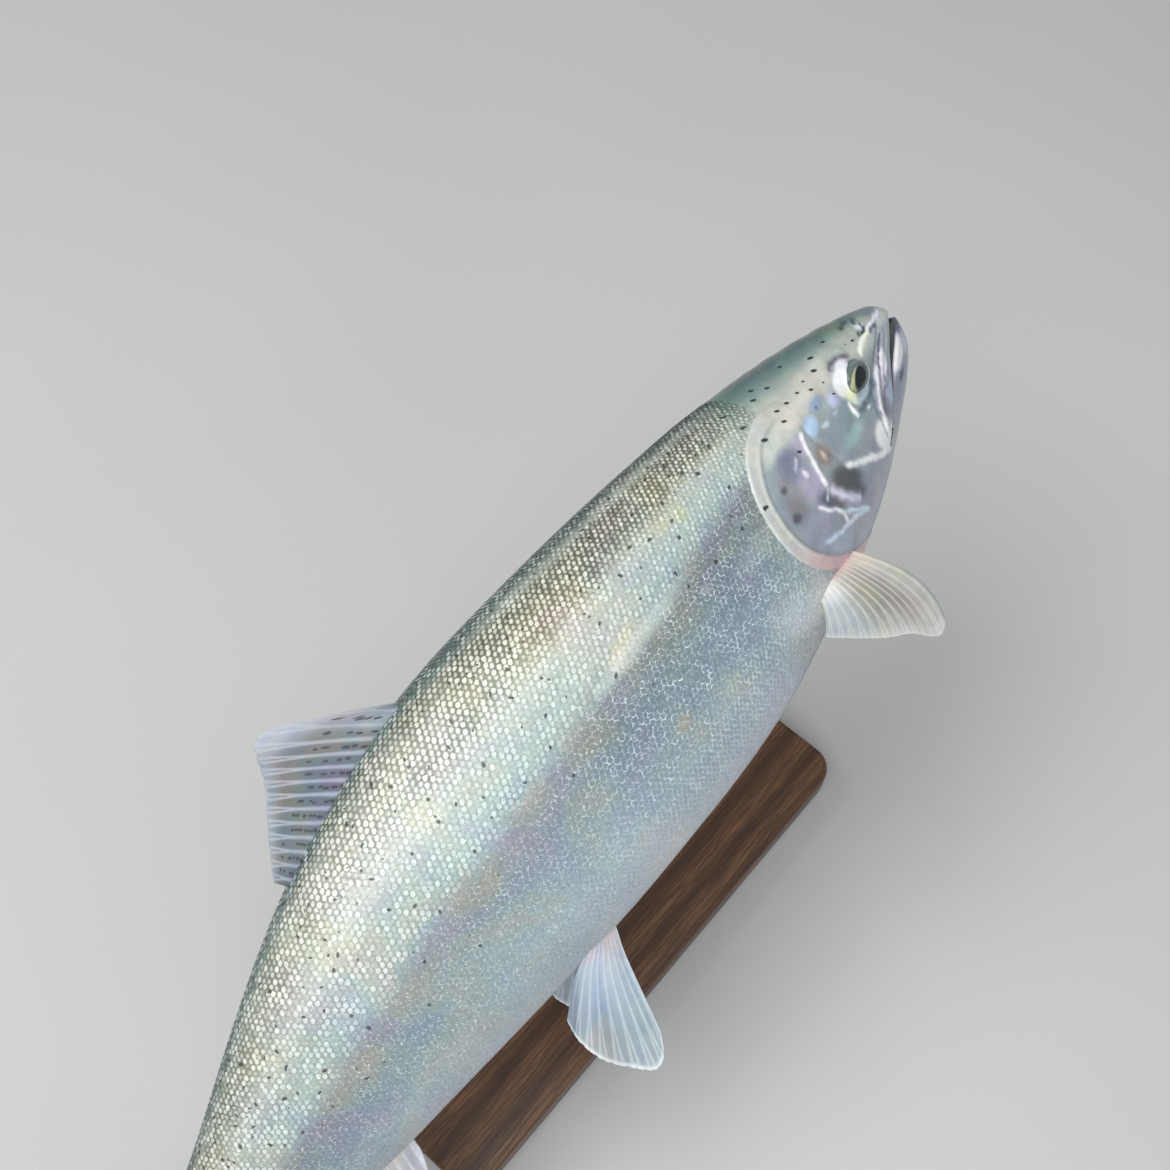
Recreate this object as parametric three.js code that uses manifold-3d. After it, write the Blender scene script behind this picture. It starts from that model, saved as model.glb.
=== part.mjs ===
// A rainbow trout at life size, swimming: nose up, banked on to its left side, head and tail
// bent to the left, mouth a little open and fins spread, on a base with two rods.
// Millimetres, +Z up. +X is the way the fish swims, and the origin is the middle of the
// stand's underside. The fish is first built straight, in its own frame: x runs forward
// from the snout (so the body is at negative x), y to its left and z up. Then it is bent
// along its backbone and turned into its swimming attitude.
import * as THREE from "three";
import { mergeVertices } from "three/addons/utils/BufferGeometryUtils.js";
import Module from "manifold-3d";

const wasm = await Module();
wasm.setup();

// ---------------------------------------------------------------- driving dimensions
const FORK_LENGTH = 560; // snout to the fork of the tail; other lengths are shares of it
const NOSE_UP_DEG = 18.1; // attitude of the middle of the body
const BANK_DEG = 51.8; // roll on to the left side
const MIDDLE = 0.46; // share of the length at the dorsal fin's front, where bends are zero
const MIDDLE_HEIGHT = 192; // of the backbone above the floor there
const GAP = 0.3; // between neighbouring pieces

// Bends of the backbone along the body, in degrees: the way it points, left and nose up.
const YAW = [
  [0, 16.6], [0.15, 16.6], [0.24, 13.9], [0.36, 5.2], [0.48, 0], [0.6, -1.2], [0.72, -3],
  [0.86, -8], [1, -12],
];
const PITCH = [
  [0, -4], [0.15, -4], [0.3, -3.5], [0.48, 0], [0.6, 5.5], [0.7, 9.5], [0.82, 9.5], [1, 6],
];

// Body outline, as [share of length from the snout, share of length].
const BACK = [
  [0, 0.006], [0.02, 0.0185], [0.045, 0.031], [0.08, 0.0455], [0.12, 0.0595], [0.16, 0.0715],
  [0.205, 0.083], [0.3, 0.1005], [0.4, 0.112], [0.46, 0.1145], [0.52, 0.111], [0.6, 0.099],
  [0.7, 0.078], [0.8, 0.0565], [0.86, 0.0475], [0.9, 0.045], [0.94, 0.0465],
];
const BELLY = [
  [0, -0.026], [0.02, -0.0385], [0.05, -0.054], [0.09, -0.0715], [0.13, -0.0845], [0.17, -0.0925],
  [0.205, -0.0995], [0.25, -0.1085], [0.3, -0.1155], [0.35, -0.118], [0.4, -0.1175],
  [0.48, -0.1155], [0.58, -0.105], [0.7, -0.081], [0.8, -0.0535], [0.86, -0.0435],
  [0.9, -0.041], [0.94, -0.0425],
];
const HALF_WIDTH = [
  [0, 0.0145], [0.02, 0.0215], [0.04, 0.0275], [0.07, 0.035], [0.1, 0.0415], [0.14, 0.0495],
  [0.18, 0.0555], [0.205, 0.0565], [0.24, 0.0585], [0.3, 0.062], [0.4, 0.0665],
  [0.5, 0.0645], [0.6, 0.0565], [0.7, 0.0435], [0.8, 0.029], [0.86, 0.0215], [0.9, 0.0155],
  [0.94, 0.0042],
];
const WIDEST_AT = [
  [0, -0.006], [0.05, -0.012], [0.12, -0.018], [0.205, -0.012], [0.4, -0.006], [0.94, 0],
];
const MOUTH_FRONT = -0.006; // height of the snout's foremost point, between the lips
const BLUNT_DEEP = 0.014; // length over which the snout rounds off, seen from the side
const BLUNT_WIDE = 0.034; // and seen from above
const BODY_END = 0.94; // where the scaled body ends in the tail fin

// ---------------------------------------------------------------- curves and frames
const rad = THREE.MathUtils.degToRad;

/** A smooth curve through [x, value] pairs: cubic pieces whose slopes come from the neighbours. */
function through(table) {
  const slope = table.map((_, i) => {
    const a = table[Math.max(i - 1, 0)];
    const b = table[Math.min(i + 1, table.length - 1)];
    return (b[1] - a[1]) / (b[0] - a[0]);
  });
  return (x) => {
    const last = table.length - 1;
    const t = THREE.MathUtils.clamp(x, table[0][0], table[last][0]);
    let i = 0;
    while (i < last - 1 && t > table[i + 1][0]) i += 1;
    const [x0, y0] = table[i];
    const [x1, y1] = table[i + 1];
    const h = x1 - x0;
    const u = (t - x0) / h;
    const rise = y0 * (1 + 2 * u) * (1 - u) ** 2 + y1 * u * u * (3 - 2 * u);
    return rise + h * (slope[i] * u * (1 - u) ** 2 - slope[i + 1] * u * u * (1 - u));
  };
}

const back = through(BACK);
const belly = through(BELLY);
const halfWidth = through(HALF_WIDTH);
const widestAt = through(WIDEST_AT);
const yaw = through(YAW);
const pitch = through(PITCH);

const rounding = (s, length) => {
  const left = Math.max(0, 1 - s / length);
  return Math.sqrt(1 - left * left);
};

/** Top, bottom, half width and height of the widest place of the section at share s, in mm. */
function section(s) {
  const deep = rounding(s, BLUNT_DEEP);
  const wide = rounding(s, BLUNT_WIDE);
  const mix = (z) => (MOUTH_FRONT + (z - MOUTH_FRONT) * deep) * FORK_LENGTH;
  return {
    top: mix(back(s)),
    bottom: mix(belly(s)),
    half: halfWidth(s) * wide * FORK_LENGTH,
    middle: mix(widestAt(s)),
  };
}

const TOP_POWER = 2.15; // squareness of the section above its widest place, and below it
const BOTTOM_POWER = 2.0;

/** Half width of the body at share s and height z in mm, or 0 above the back or below the belly. */
function flank(s, z) {
  const { top, bottom, half, middle } = section(s);
  const power = z > middle ? TOP_POWER : BOTTOM_POWER;
  const reach = Math.abs(z - middle) / (z > middle ? top - middle : middle - bottom);
  return reach >= 1 ? 0 : half * (1 - reach ** power) ** (1 / power);
}

// The backbone: position and axes at even steps from the snout to the fork, then straight on.
const STEPS = 400;
const backbone = [];
for (let i = 0; i <= STEPS; i += 1) {
  const s = i / STEPS;
  const [turn, lift] = [rad(yaw(s)), rad(pitch(s))];
  const forward = new THREE.Vector3(
    Math.cos(lift) * Math.cos(turn), Math.cos(lift) * Math.sin(turn), Math.sin(lift));
  const left = new THREE.Vector3(-Math.sin(turn), Math.cos(turn), 0);
  const up = new THREE.Vector3().crossVectors(forward, left);
  const at = new THREE.Vector3();
  if (i > 0) {
    const mean = forward.clone().add(backbone[i - 1].forward).multiplyScalar(0.5);
    at.copy(backbone[i - 1].at).addScaledVector(mean, -FORK_LENGTH / STEPS);
  }
  backbone.push({ at, forward, left, up });
}
const anchor = backbone[Math.round(MIDDLE * STEPS)].at.clone();

// Attitude: roll on to the left side, then nose up, then raised over the stand.
const attitude = new THREE.Matrix4()
  .makeTranslation(0, 0, MIDDLE_HEIGHT)
  .multiply(new THREE.Matrix4().makeRotationY(-rad(NOSE_UP_DEG)))
  .multiply(new THREE.Matrix4().makeRotationX(-rad(BANK_DEG)))
  .multiply(new THREE.Matrix4().makeTranslation(-anchor.x, -anchor.y, -anchor.z));
const overStand = new THREE.Vector3(-17, 1, 0); // brings the weight over the stand's middle

/** A point of the straight fish, bent along the backbone and put into its attitude. */
function place(p) {
  const s = -p.x / FORK_LENGTH;
  const cell = THREE.MathUtils.clamp(s, 0, 1) * STEPS;
  const i = Math.min(Math.floor(cell), STEPS - 1);
  const mix = (key) => backbone[i][key].clone().lerp(backbone[i + 1][key], cell - i);
  const beyond = (THREE.MathUtils.clamp(s, 0, 1) - s) * FORK_LENGTH;
  return mix("at")
    .addScaledVector(mix("left").normalize(), p.y)
    .addScaledVector(mix("up").normalize(), p.z)
    .addScaledVector(mix("forward").normalize(), beyond)
    .applyMatrix4(attitude)
    .add(overStand);
}

// ---------------------------------------------------------------- solids
/** A three.js geometry whose faces close, as a solid. */
function solid(geometry) {
  const plain = geometry.clone();
  plain.deleteAttribute("normal");
  plain.deleteAttribute("uv");
  const merged = mergeVertices(plain, 1e-4);
  return new wasm.Manifold(new wasm.Mesh({
    numProp: 3,
    vertProperties: merged.attributes.position.array,
    triVerts: new Uint32Array(merged.index.array),
  }));
}

/** A solid's faces as a geometry, with every point moved by the given function. */
function geometryOf(made, move = (p) => p) {
  const { vertProperties, triVerts, numProp, numVert } = made.getMesh();
  const points = [];
  for (let i = 0; i < numVert; i += 1) {
    points.push(move(new THREE.Vector3().fromArray(vertProperties, i * numProp)));
  }
  const geometry = new THREE.BufferGeometry().setFromPoints(points);
  geometry.setIndex([...triVerts]);
  geometry.computeVertexNormals();
  return geometry;
}

/** The solid inside closed faces, whichever way round they were listed. */
function enclose(points, faces) {
  const geometry = new THREE.BufferGeometry().setFromPoints(points);
  geometry.setIndex(faces);
  const made = solid(geometry);
  if (made.volume() > 0) return made;
  geometry.setIndex(faces.reverse());
  return solid(geometry);
}

/** A closed skin over rings of equal count, with a fan to the middle of the first and last. */
function loft(rings) {
  const count = rings[0].length;
  const points = rings.flat();
  const faces = [];
  rings.slice(1).forEach((_, i) => {
    for (let k = 0; k < count; k += 1) {
      const [a, b] = [i * count + k, i * count + ((k + 1) % count)];
      faces.push(a, b, b + count, a, b + count, a + count);
    }
  });
  for (const [ring, at, flip] of [[rings[0], 0, true], [rings.at(-1), points.length - count, false]]) {
    const hub = ring.reduce((sum, p) => sum.add(p), new THREE.Vector3()).divideScalar(count);
    points.push(hub);
    for (let k = 0; k < count; k += 1) {
      const [a, b] = [at + k, at + ((k + 1) % count)];
      faces.push(...(flip ? [b, a, points.length - 1] : [a, b, points.length - 1]));
    }
  }
  return enclose(points, faces);
}

/** A plate between two faces, near(u, v) and far(u, v), closed round its edge. */
function plate(near, far, across, along) {
  const points = [];
  const faces = [];
  const at = (face, i, j) => (face * (along + 1) + j) * (across + 1) + i;
  const quad = (a, b, c, d) => faces.push(a, b, c, a, c, d);
  [near, far].forEach((face, side) => {
    for (let j = 0; j <= along; j += 1) {
      for (let i = 0; i <= across; i += 1) {
        points.push(face(i / across, j / along));
        const corners = [at(side, i, j), at(side, i + 1, j), at(side, i + 1, j + 1), at(side, i, j + 1)];
        if (i < across && j < along) quad(...(side ? corners.reverse() : corners));
      }
    }
  });
  const rim = [];
  for (let i = 0; i < across; i += 1) rim.push([i, 0]);
  for (let j = 0; j < along; j += 1) rim.push([across, j]);
  for (let i = across; i > 0; i -= 1) rim.push([i, along]);
  for (let j = along; j > 0; j -= 1) rim.push([0, j]);
  rim.forEach((from, k) => {
    const to = rim[(k + 1) % rim.length];
    quad(at(0, ...to), at(0, ...from), at(1, ...from), at(1, ...to));
  });
  return enclose(points, faces);
}

// ---------------------------------------------------------------- body
const AROUND = 28;
const HEAD_END = 0.222; // just behind the gill covers
const BODY_STATIONS = [
  0.0008, 0.004, 0.01, 0.018, 0.028, 0.04, 0.055, 0.07, 0.085, 0.1, 0.115, 0.13, 0.145, 0.16,
  0.175, 0.19, 0.205, HEAD_END, 0.245, 0.275, 0.31, 0.35, 0.39, 0.425, MIDDLE, 0.5, 0.54, 0.58, 0.62,
  0.66, 0.7, 0.735, 0.77, 0.8, 0.83, 0.86, 0.89, 0.915, BODY_END,
];

/** The whole body, straight, with every section grown outwards by grow mm. */
function body(grow, stations = BODY_STATIONS) {
  return loft(stations.map((s) => {
    const { top, bottom, half, middle } = section(s);
    const ring = [];
    for (let k = 0; k < AROUND; k += 1) {
      const angle = (2 * Math.PI * k) / AROUND;
      const [side, rise] = [Math.sin(angle), Math.cos(angle)];
      const power = rise > 0 ? TOP_POWER : BOTTOM_POWER;
      const deep = rise > 0 ? top - middle : middle - bottom;
      const shape = (x, size) => Math.sign(x) * Math.abs(x) ** (2 / power) * (size + grow);
      ring.push(new THREE.Vector3(
        -s * FORK_LENGTH, shape(side, half), middle + shape(rise, deep)));
    }
    return ring;
  }));
}

const whole = body(0);
const grown = body(GAP);

/** What lies between two shares of the length. */
function between(from, to) {
  const size = FORK_LENGTH;
  const box = new THREE.BoxGeometry((to - from) * size - GAP, size, size);
  box.translate((-(from + to) / 2) * size, 0, 0);
  return solid(box);
}

// ---------------------------------------------------------------- mouth
// Side view of the open mouth: the edge of the upper jaw, and the top of the lower one.
const UPPER_LIP = [
  [-0.02, 0.003], [0, 0.001], [0.02, -0.002], [0.04, -0.01], [0.06, -0.0245], [0.08, -0.0395],
  [0.1, -0.0515],
];
const LOWER_LIP = [
  [-0.02, -0.008], [0, -0.0085], [0.02, -0.011], [0.04, -0.0175], [0.06, -0.029], [0.08, -0.0415],
  [0.1, -0.0525],
];
const JAW_END = [[0.107, -0.062], [0.104, -0.085]]; // where the lower jaw meets the throat
const JAW_SLIMMER = 0.95; // the lower jaw shuts inside the upper one

/** A solid that is an outline in the side view, as [share, height] pairs, right across the head. */
function sideCut(outline) {
  const shape = new THREE.Shape(
    outline.map(([s, z]) => new THREE.Vector2(-s * FORK_LENGTH, z * FORK_LENGTH)));
  const width = 0.2 * FORK_LENGTH;
  const geometry = new THREE.ExtrudeGeometry(shape, { depth: width, bevelEnabled: false });
  return solid(geometry.translate(0, 0, -width / 2).rotateX(Math.PI / 2));
}

/** Side view of what lies under a lip and in front of the throat, moved back by a share. */
const under = (lip, shift) => [
  [-0.02, -0.12], ...lip, ...JAW_END.map(([s, z]) => [s + shift, z]), [0.104 + shift, -0.12],
];

const share = GAP / FORK_LENGTH;
const jaw = whole.intersect(sideCut(under(LOWER_LIP, 0))).scale([1, JAW_SLIMMER, 1]);

// ---------------------------------------------------------------- eyes and gill covers
const EYE = { s: 0.081, z: 0.001, long: 17, high: 14.6, deep: 9, sunk: 1.9, down: 18 };

/** An eyeball, flattened like a lentil, its face a little turned to the belly. */
function eyeball(side, grow) {
  const shape = new THREE.SphereGeometry(1, 18, 10);
  shape.scale(EYE.long / 2 + grow, EYE.deep / 2 + grow, EYE.high / 2 + grow);
  shape.rotateX(rad(-side * EYE.down));
  const z = EYE.z * FORK_LENGTH;
  shape.translate(-EYE.s * FORK_LENGTH, side * (flank(EYE.s, z) - EYE.sunk), z);
  return solid(shape);
}

const COVER = [ // side view of a gill cover, as [share, height]
  [0.134, 0.004], [0.149, 0.025], [0.165, 0.038], [0.18, 0.041], [0.193, 0.034], [0.205, 0.021],
  [0.2135, 0.005], [0.217, -0.012], [0.214, -0.029], [0.206, -0.045], [0.194, -0.059],
  [0.178, -0.069], [0.16, -0.071], [0.144, -0.06], [0.134, -0.044], [0.129, -0.02],
];
const COVER_THICK = 3.2;
const COVER_MIDDLE = [0.172, -0.016];

/** The outline of a gill cover, pushed outwards by a share of its size. */
const coverOutline = (grow) => COVER.map(([s, z]) => {
  const [ds, dz] = [s - COVER_MIDDLE[0], z - COVER_MIDDLE[1]];
  const wider = 1 + grow / Math.hypot(ds, dz);
  return [COVER_MIDDLE[0] + ds * wider, COVER_MIDDLE[1] + dz * wider];
});

/** One side of the head, as a box. */
function half(side) {
  const box = new THREE.BoxGeometry(0.3 * FORK_LENGTH, 0.1 * FORK_LENGTH, 0.3 * FORK_LENGTH);
  return solid(box.translate(-0.15 * FORK_LENGTH, side * 0.058 * FORK_LENGTH, 0));
}

const HEAD_STATIONS = BODY_STATIONS.filter((s) => s > 0.09 && s < 0.3);
const underCovers = body(-COVER_THICK, HEAD_STATIONS);
const underHead = body(-COVER_THICK - GAP, HEAD_STATIONS);
const sides = { right: -1, left: 1 };
const covers = {};
let head = whole.intersect(between(-0.1, HEAD_END)).subtract(sideCut(under(UPPER_LIP, share)));
for (const [name, side] of Object.entries(sides)) {
  covers[name] = whole.intersect(sideCut(coverOutline(0))).intersect(half(side))
    .subtract(underCovers);
  const pocket = sideCut(coverOutline(share)).intersect(half(side)).subtract(underHead);
  head = head.subtract(pocket).subtract(eyeball(side, GAP));
}

// ---------------------------------------------------------------- fins
/** A smooth curve through 3-D points given as [u, x, y, z], in shares of the length. */
function curve(table) {
  const [x, y, z] = [1, 2, 3].map((k) => through(table.map((row) => [row[0], row[k]])));
  return (u) => new THREE.Vector3(x(u), y(u), z(u)).multiplyScalar(FORK_LENGTH);
}

/**
 * A fin: a sheet between a curve of roots and a curve of ray tips, thinner towards its edge
 * and bowed by bow mm. The front rays curve forward by the given mm, the last one not at all.
 * The roots start inside the body and are cut off a gap above it.
 */
function fin(roots, tips, options) {
  const { thick = 2.4, edge = 0.9, bow = 0, forward = 0, across = 14, along = 5 } = options;
  const [from, to] = [curve(roots), curve(tips)];
  const sheet = (u, v) => {
    const point = from(u).lerp(to(u), v);
    point.x += forward * (1 - u) * 4 * v * (1 - v);
    return point;
  };
  const step = 1e-3;
  const face = (side) => (u, v) => {
    const [a, b] = [Math.min(u, 1 - step), Math.min(v, 1 - step)];
    const here = sheet(a, b);
    const ahead = sheet(a + step, b).sub(here);
    const out = sheet(a, b + step).sub(here);
    const normal = ahead.cross(out).normalize();
    const half = (thick + (edge - thick) * Math.sqrt(v)) / 2;
    return sheet(u, v).addScaledVector(normal, side * half + bow * Math.sin(Math.PI * v));
  };
  const made = plate(face(1), face(-1), across, along).subtract(grown);
  return made.decompose().sort((a, b) => b.volume() - a.volume())[0];
}

const DORSAL_ROOTS = [0, 0.25, 0.5, 0.75, 1].map((u) => {
  const s = 0.455 + 0.137 * u;
  return [u, -s, 0, back(s) - 0.008];
});
const DORSAL_TIPS = [
  [0, -0.461, 0, 0.1165], [0.05, -0.488, 0, 0.145], [0.1, -0.514, 0.001, 0.171],
  [0.15, -0.528, 0.002, 0.178], [0.22, -0.535, 0.003, 0.172], [0.4, -0.546, 0.003, 0.156],
  [0.6, -0.561, 0.001, 0.142], [0.8, -0.578, -0.001, 0.127], [1, -0.595, 0, 0.111],
];
const ADIPOSE_ROOTS = [[0, -0.8, 0, 0.05], [1, -0.818, 0, 0.047]];
const ADIPOSE_TIPS = [
  [0, -0.816, 0, 0.0645], [0.3, -0.831, 0, 0.074], [0.6, -0.845, 0, 0.079], [0.8, -0.848, 0, 0.074],
  [1, -0.838, 0, 0.061],
];
const ANAL_ROOTS = [0, 0.5, 1].map((u) => {
  const s = 0.714 + 0.088 * u;
  return [u, -s, 0, belly(s) + 0.008];
});
const ANAL_TIPS = [
  [0, -0.725, 0, -0.0885], [0.06, -0.746, 0, -0.11], [0.12, -0.768, 0, -0.131],
  [0.18, -0.785, 0, -0.1455], [0.26, -0.795, 0, -0.143], [0.45, -0.804, 0, -0.127],
  [0.65, -0.814, 0, -0.11], [0.85, -0.825, 0, -0.095], [1, -0.833, 0, -0.083],
];
const CAUDAL_ROOTS = [
  [0, -0.9, 0, 0.0415], [0.25, -0.925, 0, 0.026], [0.5, -0.932, 0, 0.001], [0.75, -0.925, 0, -0.024],
  [1, -0.9, 0, -0.038],
];
const CAUDAL_TIPS = [
  [0, -0.93, 0, 0.059], [0.05, -0.972, 0, 0.087], [0.1, -1.018, 0, 0.113], [0.14, -1.043, 0, 0.123],
  [0.19, -1.044, 0, 0.112], [0.3, -1.024, 0, 0.069], [0.4, -1.008, 0, 0.033], [0.5, -1, 0, 0.002],
  [0.6, -1.007, 0, -0.03], [0.7, -1.021, 0, -0.064], [0.81, -1.04, 0, -0.107],
  [0.86, -1.038, 0, -0.118], [0.9, -1.012, 0, -0.107], [0.95, -0.967, 0, -0.082],
  [1, -0.93, 0, -0.055],
];
const PECTORAL_ROOTS = [
  [0, -0.188, 0.03, -0.064], [0.5, -0.205, 0.035, -0.064], [1, -0.222, 0.037, -0.065],
];
const PECTORAL_TIPS = [
  [0, -0.221, 0.148, -0.097], [0.1, -0.229, 0.152, -0.1], [0.22, -0.231, 0.144, -0.089],
  [0.4, -0.236, 0.134, -0.081], [0.6, -0.245, 0.12, -0.077], [0.8, -0.253, 0.1, -0.073],
  [1, -0.257, 0.077, -0.068],
];
const PELVIC_ROOTS = [
  [0, -0.492, 0.017, -0.103], [0.5, -0.504, 0.024, -0.1], [1, -0.516, 0.029, -0.094],
];
const PELVIC_TIPS = [
  [0, -0.541, 0.043, -0.176], [0.12, -0.556, 0.046, -0.188], [0.25, -0.57, 0.046, -0.19],
  [0.42, -0.58, 0.044, -0.175], [0.6, -0.586, 0.041, -0.154], [0.8, -0.584, 0.037, -0.132],
  [1, -0.574, 0.036, -0.113],
];
const onSide = (side, table) => table.map(([u, x, y, z]) => [u, x, side * y, z]);

// ---------------------------------------------------------------- model
const group = new THREE.Group();
group.name = "rainbow_trout";

const finish = {
  back: { color: 0x5f6f68, roughness: 0.38, metalness: 0.1 },
  flank: { color: 0x9aa3a4, roughness: 0.35, metalness: 0.15 },
  cheek: { color: 0xb3a4ab, roughness: 0.35, metalness: 0.15 },
  jaw: { color: 0xc9c5cc, roughness: 0.4, metalness: 0 },
  eye: { color: 0x23272b, roughness: 0.08, metalness: 0 },
  dark: { color: 0x9a98a0, roughness: 0.45, metalness: 0 },
  pale: { color: 0xc2b7a8, roughness: 0.45, metalness: 0 },
  wood: { color: 0x4c3322, roughness: 0.5, metalness: 0 },
  steel: { color: 0xb9bcc0, roughness: 0.35, metalness: 1 },
};

/** Adds a node with a material of its own. */
function add(name, geometry, look) {
  const mesh = new THREE.Mesh(geometry, new THREE.MeshStandardMaterial(finish[look]));
  mesh.name = name;
  group.add(mesh);
}

const flesh = (name, made, look) => add(name, geometryOf(made, place), look);
flesh("head", head, "cheek");
flesh("jaw_lower", jaw, "jaw");
flesh("trunk_front", whole.intersect(between(HEAD_END, 0.4)), "flank");
flesh("trunk_middle", whole.intersect(between(0.4, 0.62)), "flank");
flesh("trunk_rear", whole.intersect(between(0.62, 0.8)), "flank");
flesh("tail_stalk", whole.intersect(between(0.8, 1)), "back");
flesh("fin_dorsal", fin(DORSAL_ROOTS, DORSAL_TIPS, { across: 18, along: 5 }), "dark");
flesh("fin_adipose", fin(ADIPOSE_ROOTS, ADIPOSE_TIPS, { thick: 3, edge: 1.4, across: 8 }), "dark");
flesh("fin_anal", fin(ANAL_ROOTS, ANAL_TIPS, {}), "pale");
flesh("fin_caudal", fin(CAUDAL_ROOTS, CAUDAL_TIPS, { thick: 3, across: 24, along: 5 }), "dark");
for (const [name, side] of Object.entries(sides)) {
  flesh(`gill_cover_${name}`, covers[name], "cheek");
  flesh(`eye_${name}`, eyeball(side, 0), "eye");
  const pectoral = [onSide(side, PECTORAL_ROOTS), onSide(side, PECTORAL_TIPS)];
  flesh(`fin_pectoral_${name}`, fin(...pectoral, { bow: side * 3, forward: 9 }), "pale");
  const pelvic = [onSide(side, PELVIC_ROOTS), onSide(side, PELVIC_TIPS)];
  flesh(`fin_pelvic_${name}`, fin(...pelvic, { bow: side * 2 }), "pale");
}

// ---------------------------------------------------------------- stand
const BASE = { x: 270, y: 130, z: 20, corner: 12, edge: 2 };
const ROD_RADIUS = 5;
const RODS = { front: 0.32, rear: 0.6 }; // shares of the length they hold the body at

/** A slab with rounded corners and bevelled edges, standing on the floor. */
function slab({ x, y, z, corner, edge }) {
  const [w, d, r] = [x / 2 - edge, y / 2 - edge, corner - edge];
  const shape = new THREE.Shape();
  shape.moveTo(-w + r, -d);
  shape.lineTo(w - r, -d).absarc(w - r, -d + r, r, -Math.PI / 2, 0);
  shape.lineTo(w, d - r).absarc(w - r, d - r, r, 0, Math.PI / 2);
  shape.lineTo(-w + r, d).absarc(-w + r, d - r, r, Math.PI / 2, Math.PI);
  shape.lineTo(-w, -d + r).absarc(-w + r, -d + r, r, Math.PI, Math.PI * 1.5);
  const bevel = { bevelThickness: edge, bevelSize: edge, bevelSegments: 2 };
  const geometry = new THREE.ExtrudeGeometry(shape, {
    depth: z - 2 * edge, curveSegments: 5, ...bevel,
  });
  return geometry.translate(0, 0, edge);
}

add("stand_base", slab(BASE), "wood");
const bentBody = solid(geometryOf(grown, place));
for (const [name, s] of Object.entries(RODS)) {
  const foot = place(new THREE.Vector3(-s * FORK_LENGTH, 0, 0));
  const length = foot.z - BASE.z - GAP;
  const rod = new THREE.CylinderGeometry(ROD_RADIUS, ROD_RADIUS, length, 24);
  rod.rotateX(Math.PI / 2).translate(foot.x, foot.y, BASE.z + GAP + length / 2);
  add(`stand_rod_${name}`, geometryOf(solid(rod).subtract(bentBody)), "steel");
}

// The origin is the middle of the footprint.
const size = new THREE.Box3().setFromObject(group);
const middle = size.getCenter(new THREE.Vector3());
for (const mesh of group.children) mesh.geometry.translate(-middle.x, -middle.y, -size.min.z);

export default group;
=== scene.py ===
"""A rainbow trout at life size, swimming on a display stand: its skin, scales, eyes, fins and stand."""

import math

import bpy
import numpy as np
from mathutils import Matrix, Vector


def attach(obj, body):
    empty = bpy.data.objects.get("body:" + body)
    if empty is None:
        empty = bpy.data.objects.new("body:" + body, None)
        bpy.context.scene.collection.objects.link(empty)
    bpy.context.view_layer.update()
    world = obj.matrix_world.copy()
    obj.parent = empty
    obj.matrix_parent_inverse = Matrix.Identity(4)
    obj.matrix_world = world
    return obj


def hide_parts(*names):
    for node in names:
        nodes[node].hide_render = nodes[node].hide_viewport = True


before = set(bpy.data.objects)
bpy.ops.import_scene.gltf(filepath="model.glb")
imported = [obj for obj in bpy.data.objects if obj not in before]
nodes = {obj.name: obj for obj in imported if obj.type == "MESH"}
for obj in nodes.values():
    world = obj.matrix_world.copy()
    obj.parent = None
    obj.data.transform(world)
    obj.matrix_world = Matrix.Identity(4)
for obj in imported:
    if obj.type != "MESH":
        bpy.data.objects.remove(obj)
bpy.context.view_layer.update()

# ------------------------------------------------------------------ the fish's own form
# The trout is a smooth body of oval sections, bent along its backbone: the head turned left, the
# tail drooping. It is drawn straight first, x forward from the snout, y to its left and z up,
# and each finished point is then bent and put into the swimming attitude.
FORK_LENGTH = 0.560
MM = 0.001
NOSE_UP_DEG = 18.1
BANK_DEG = 51.8
MIDDLE = 0.46  # the share at which the backbone is straight and level
MIDDLE_HEIGHT = 0.192  # of that place over the floor, in metres
OVER_STAND = (0.028845, 0.010968, 0.0)
YAW = [  # thousandths of the fork length from the snout, degrees
    (0, 16.6), (150, 16.6), (240, 13.9), (360, 5.2), (480, 0), (600, -1.2), (720, -3), (860, -8),
    (1000, -12)]
PITCH = [
    (0, -4), (150, -4), (300, -3.5), (480, 0), (600, 5.5), (700, 9.5), (820, 9.5), (1000, 6)]
BACK = [  # thousandths of the fork length: from the snout, and up from the middle line
    (0, 6), (20, 18.5), (45, 31), (80, 45.5), (120, 59.5), (160, 71.5), (205, 83), (300, 100.5),
    (400, 112), (460, 114.5), (520, 111), (600, 99), (700, 78), (800, 56.5), (860, 47.5), (900, 45),
    (940, 46.5)]
BELLY = [
    (0, -26), (20, -38.5), (50, -54), (90, -71.5), (130, -84.5), (170, -92.5), (205, -99.5),
    (250, -108.5), (300, -115.5), (350, -118), (400, -117.5), (480, -115.5), (580, -105),
    (700, -81), (800, -53.5), (860, -43.5), (900, -41), (940, -42.5)]
HALF_WIDTH = [
    (0, 14.5), (20, 21.5), (40, 27.5), (70, 35), (100, 41.5), (140, 49.5), (180, 55.5), (205, 56.5),
    (240, 58.5), (300, 62), (400, 66.5), (500, 64.5), (600, 56.5), (700, 43.5), (800, 29),
    (860, 21.5), (900, 15.5), (940, 4.2)]
WIDEST_AT = [(0, -6), (50, -12), (120, -18), (205, -12), (400, -6), (940, 0)]
LATERAL_LINE = [(0, -4), (100, 4), (200, 26), (300, 24), (450, 13), (600, 6), (800, 2), (940, 1)]
MOUTH_FRONT = -0.006  # height of the snout's foremost place, as a share
BLUNT_DEEP, BLUNT_WIDE = 0.014, 0.034  # shares over which the snout rounds off, seen from two sides
BODY_END = 0.94
TOP_POWER, BOTTOM_POWER = 2.15, 2.0  # of the sections' superellipses; 2 is an ellipse


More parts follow.
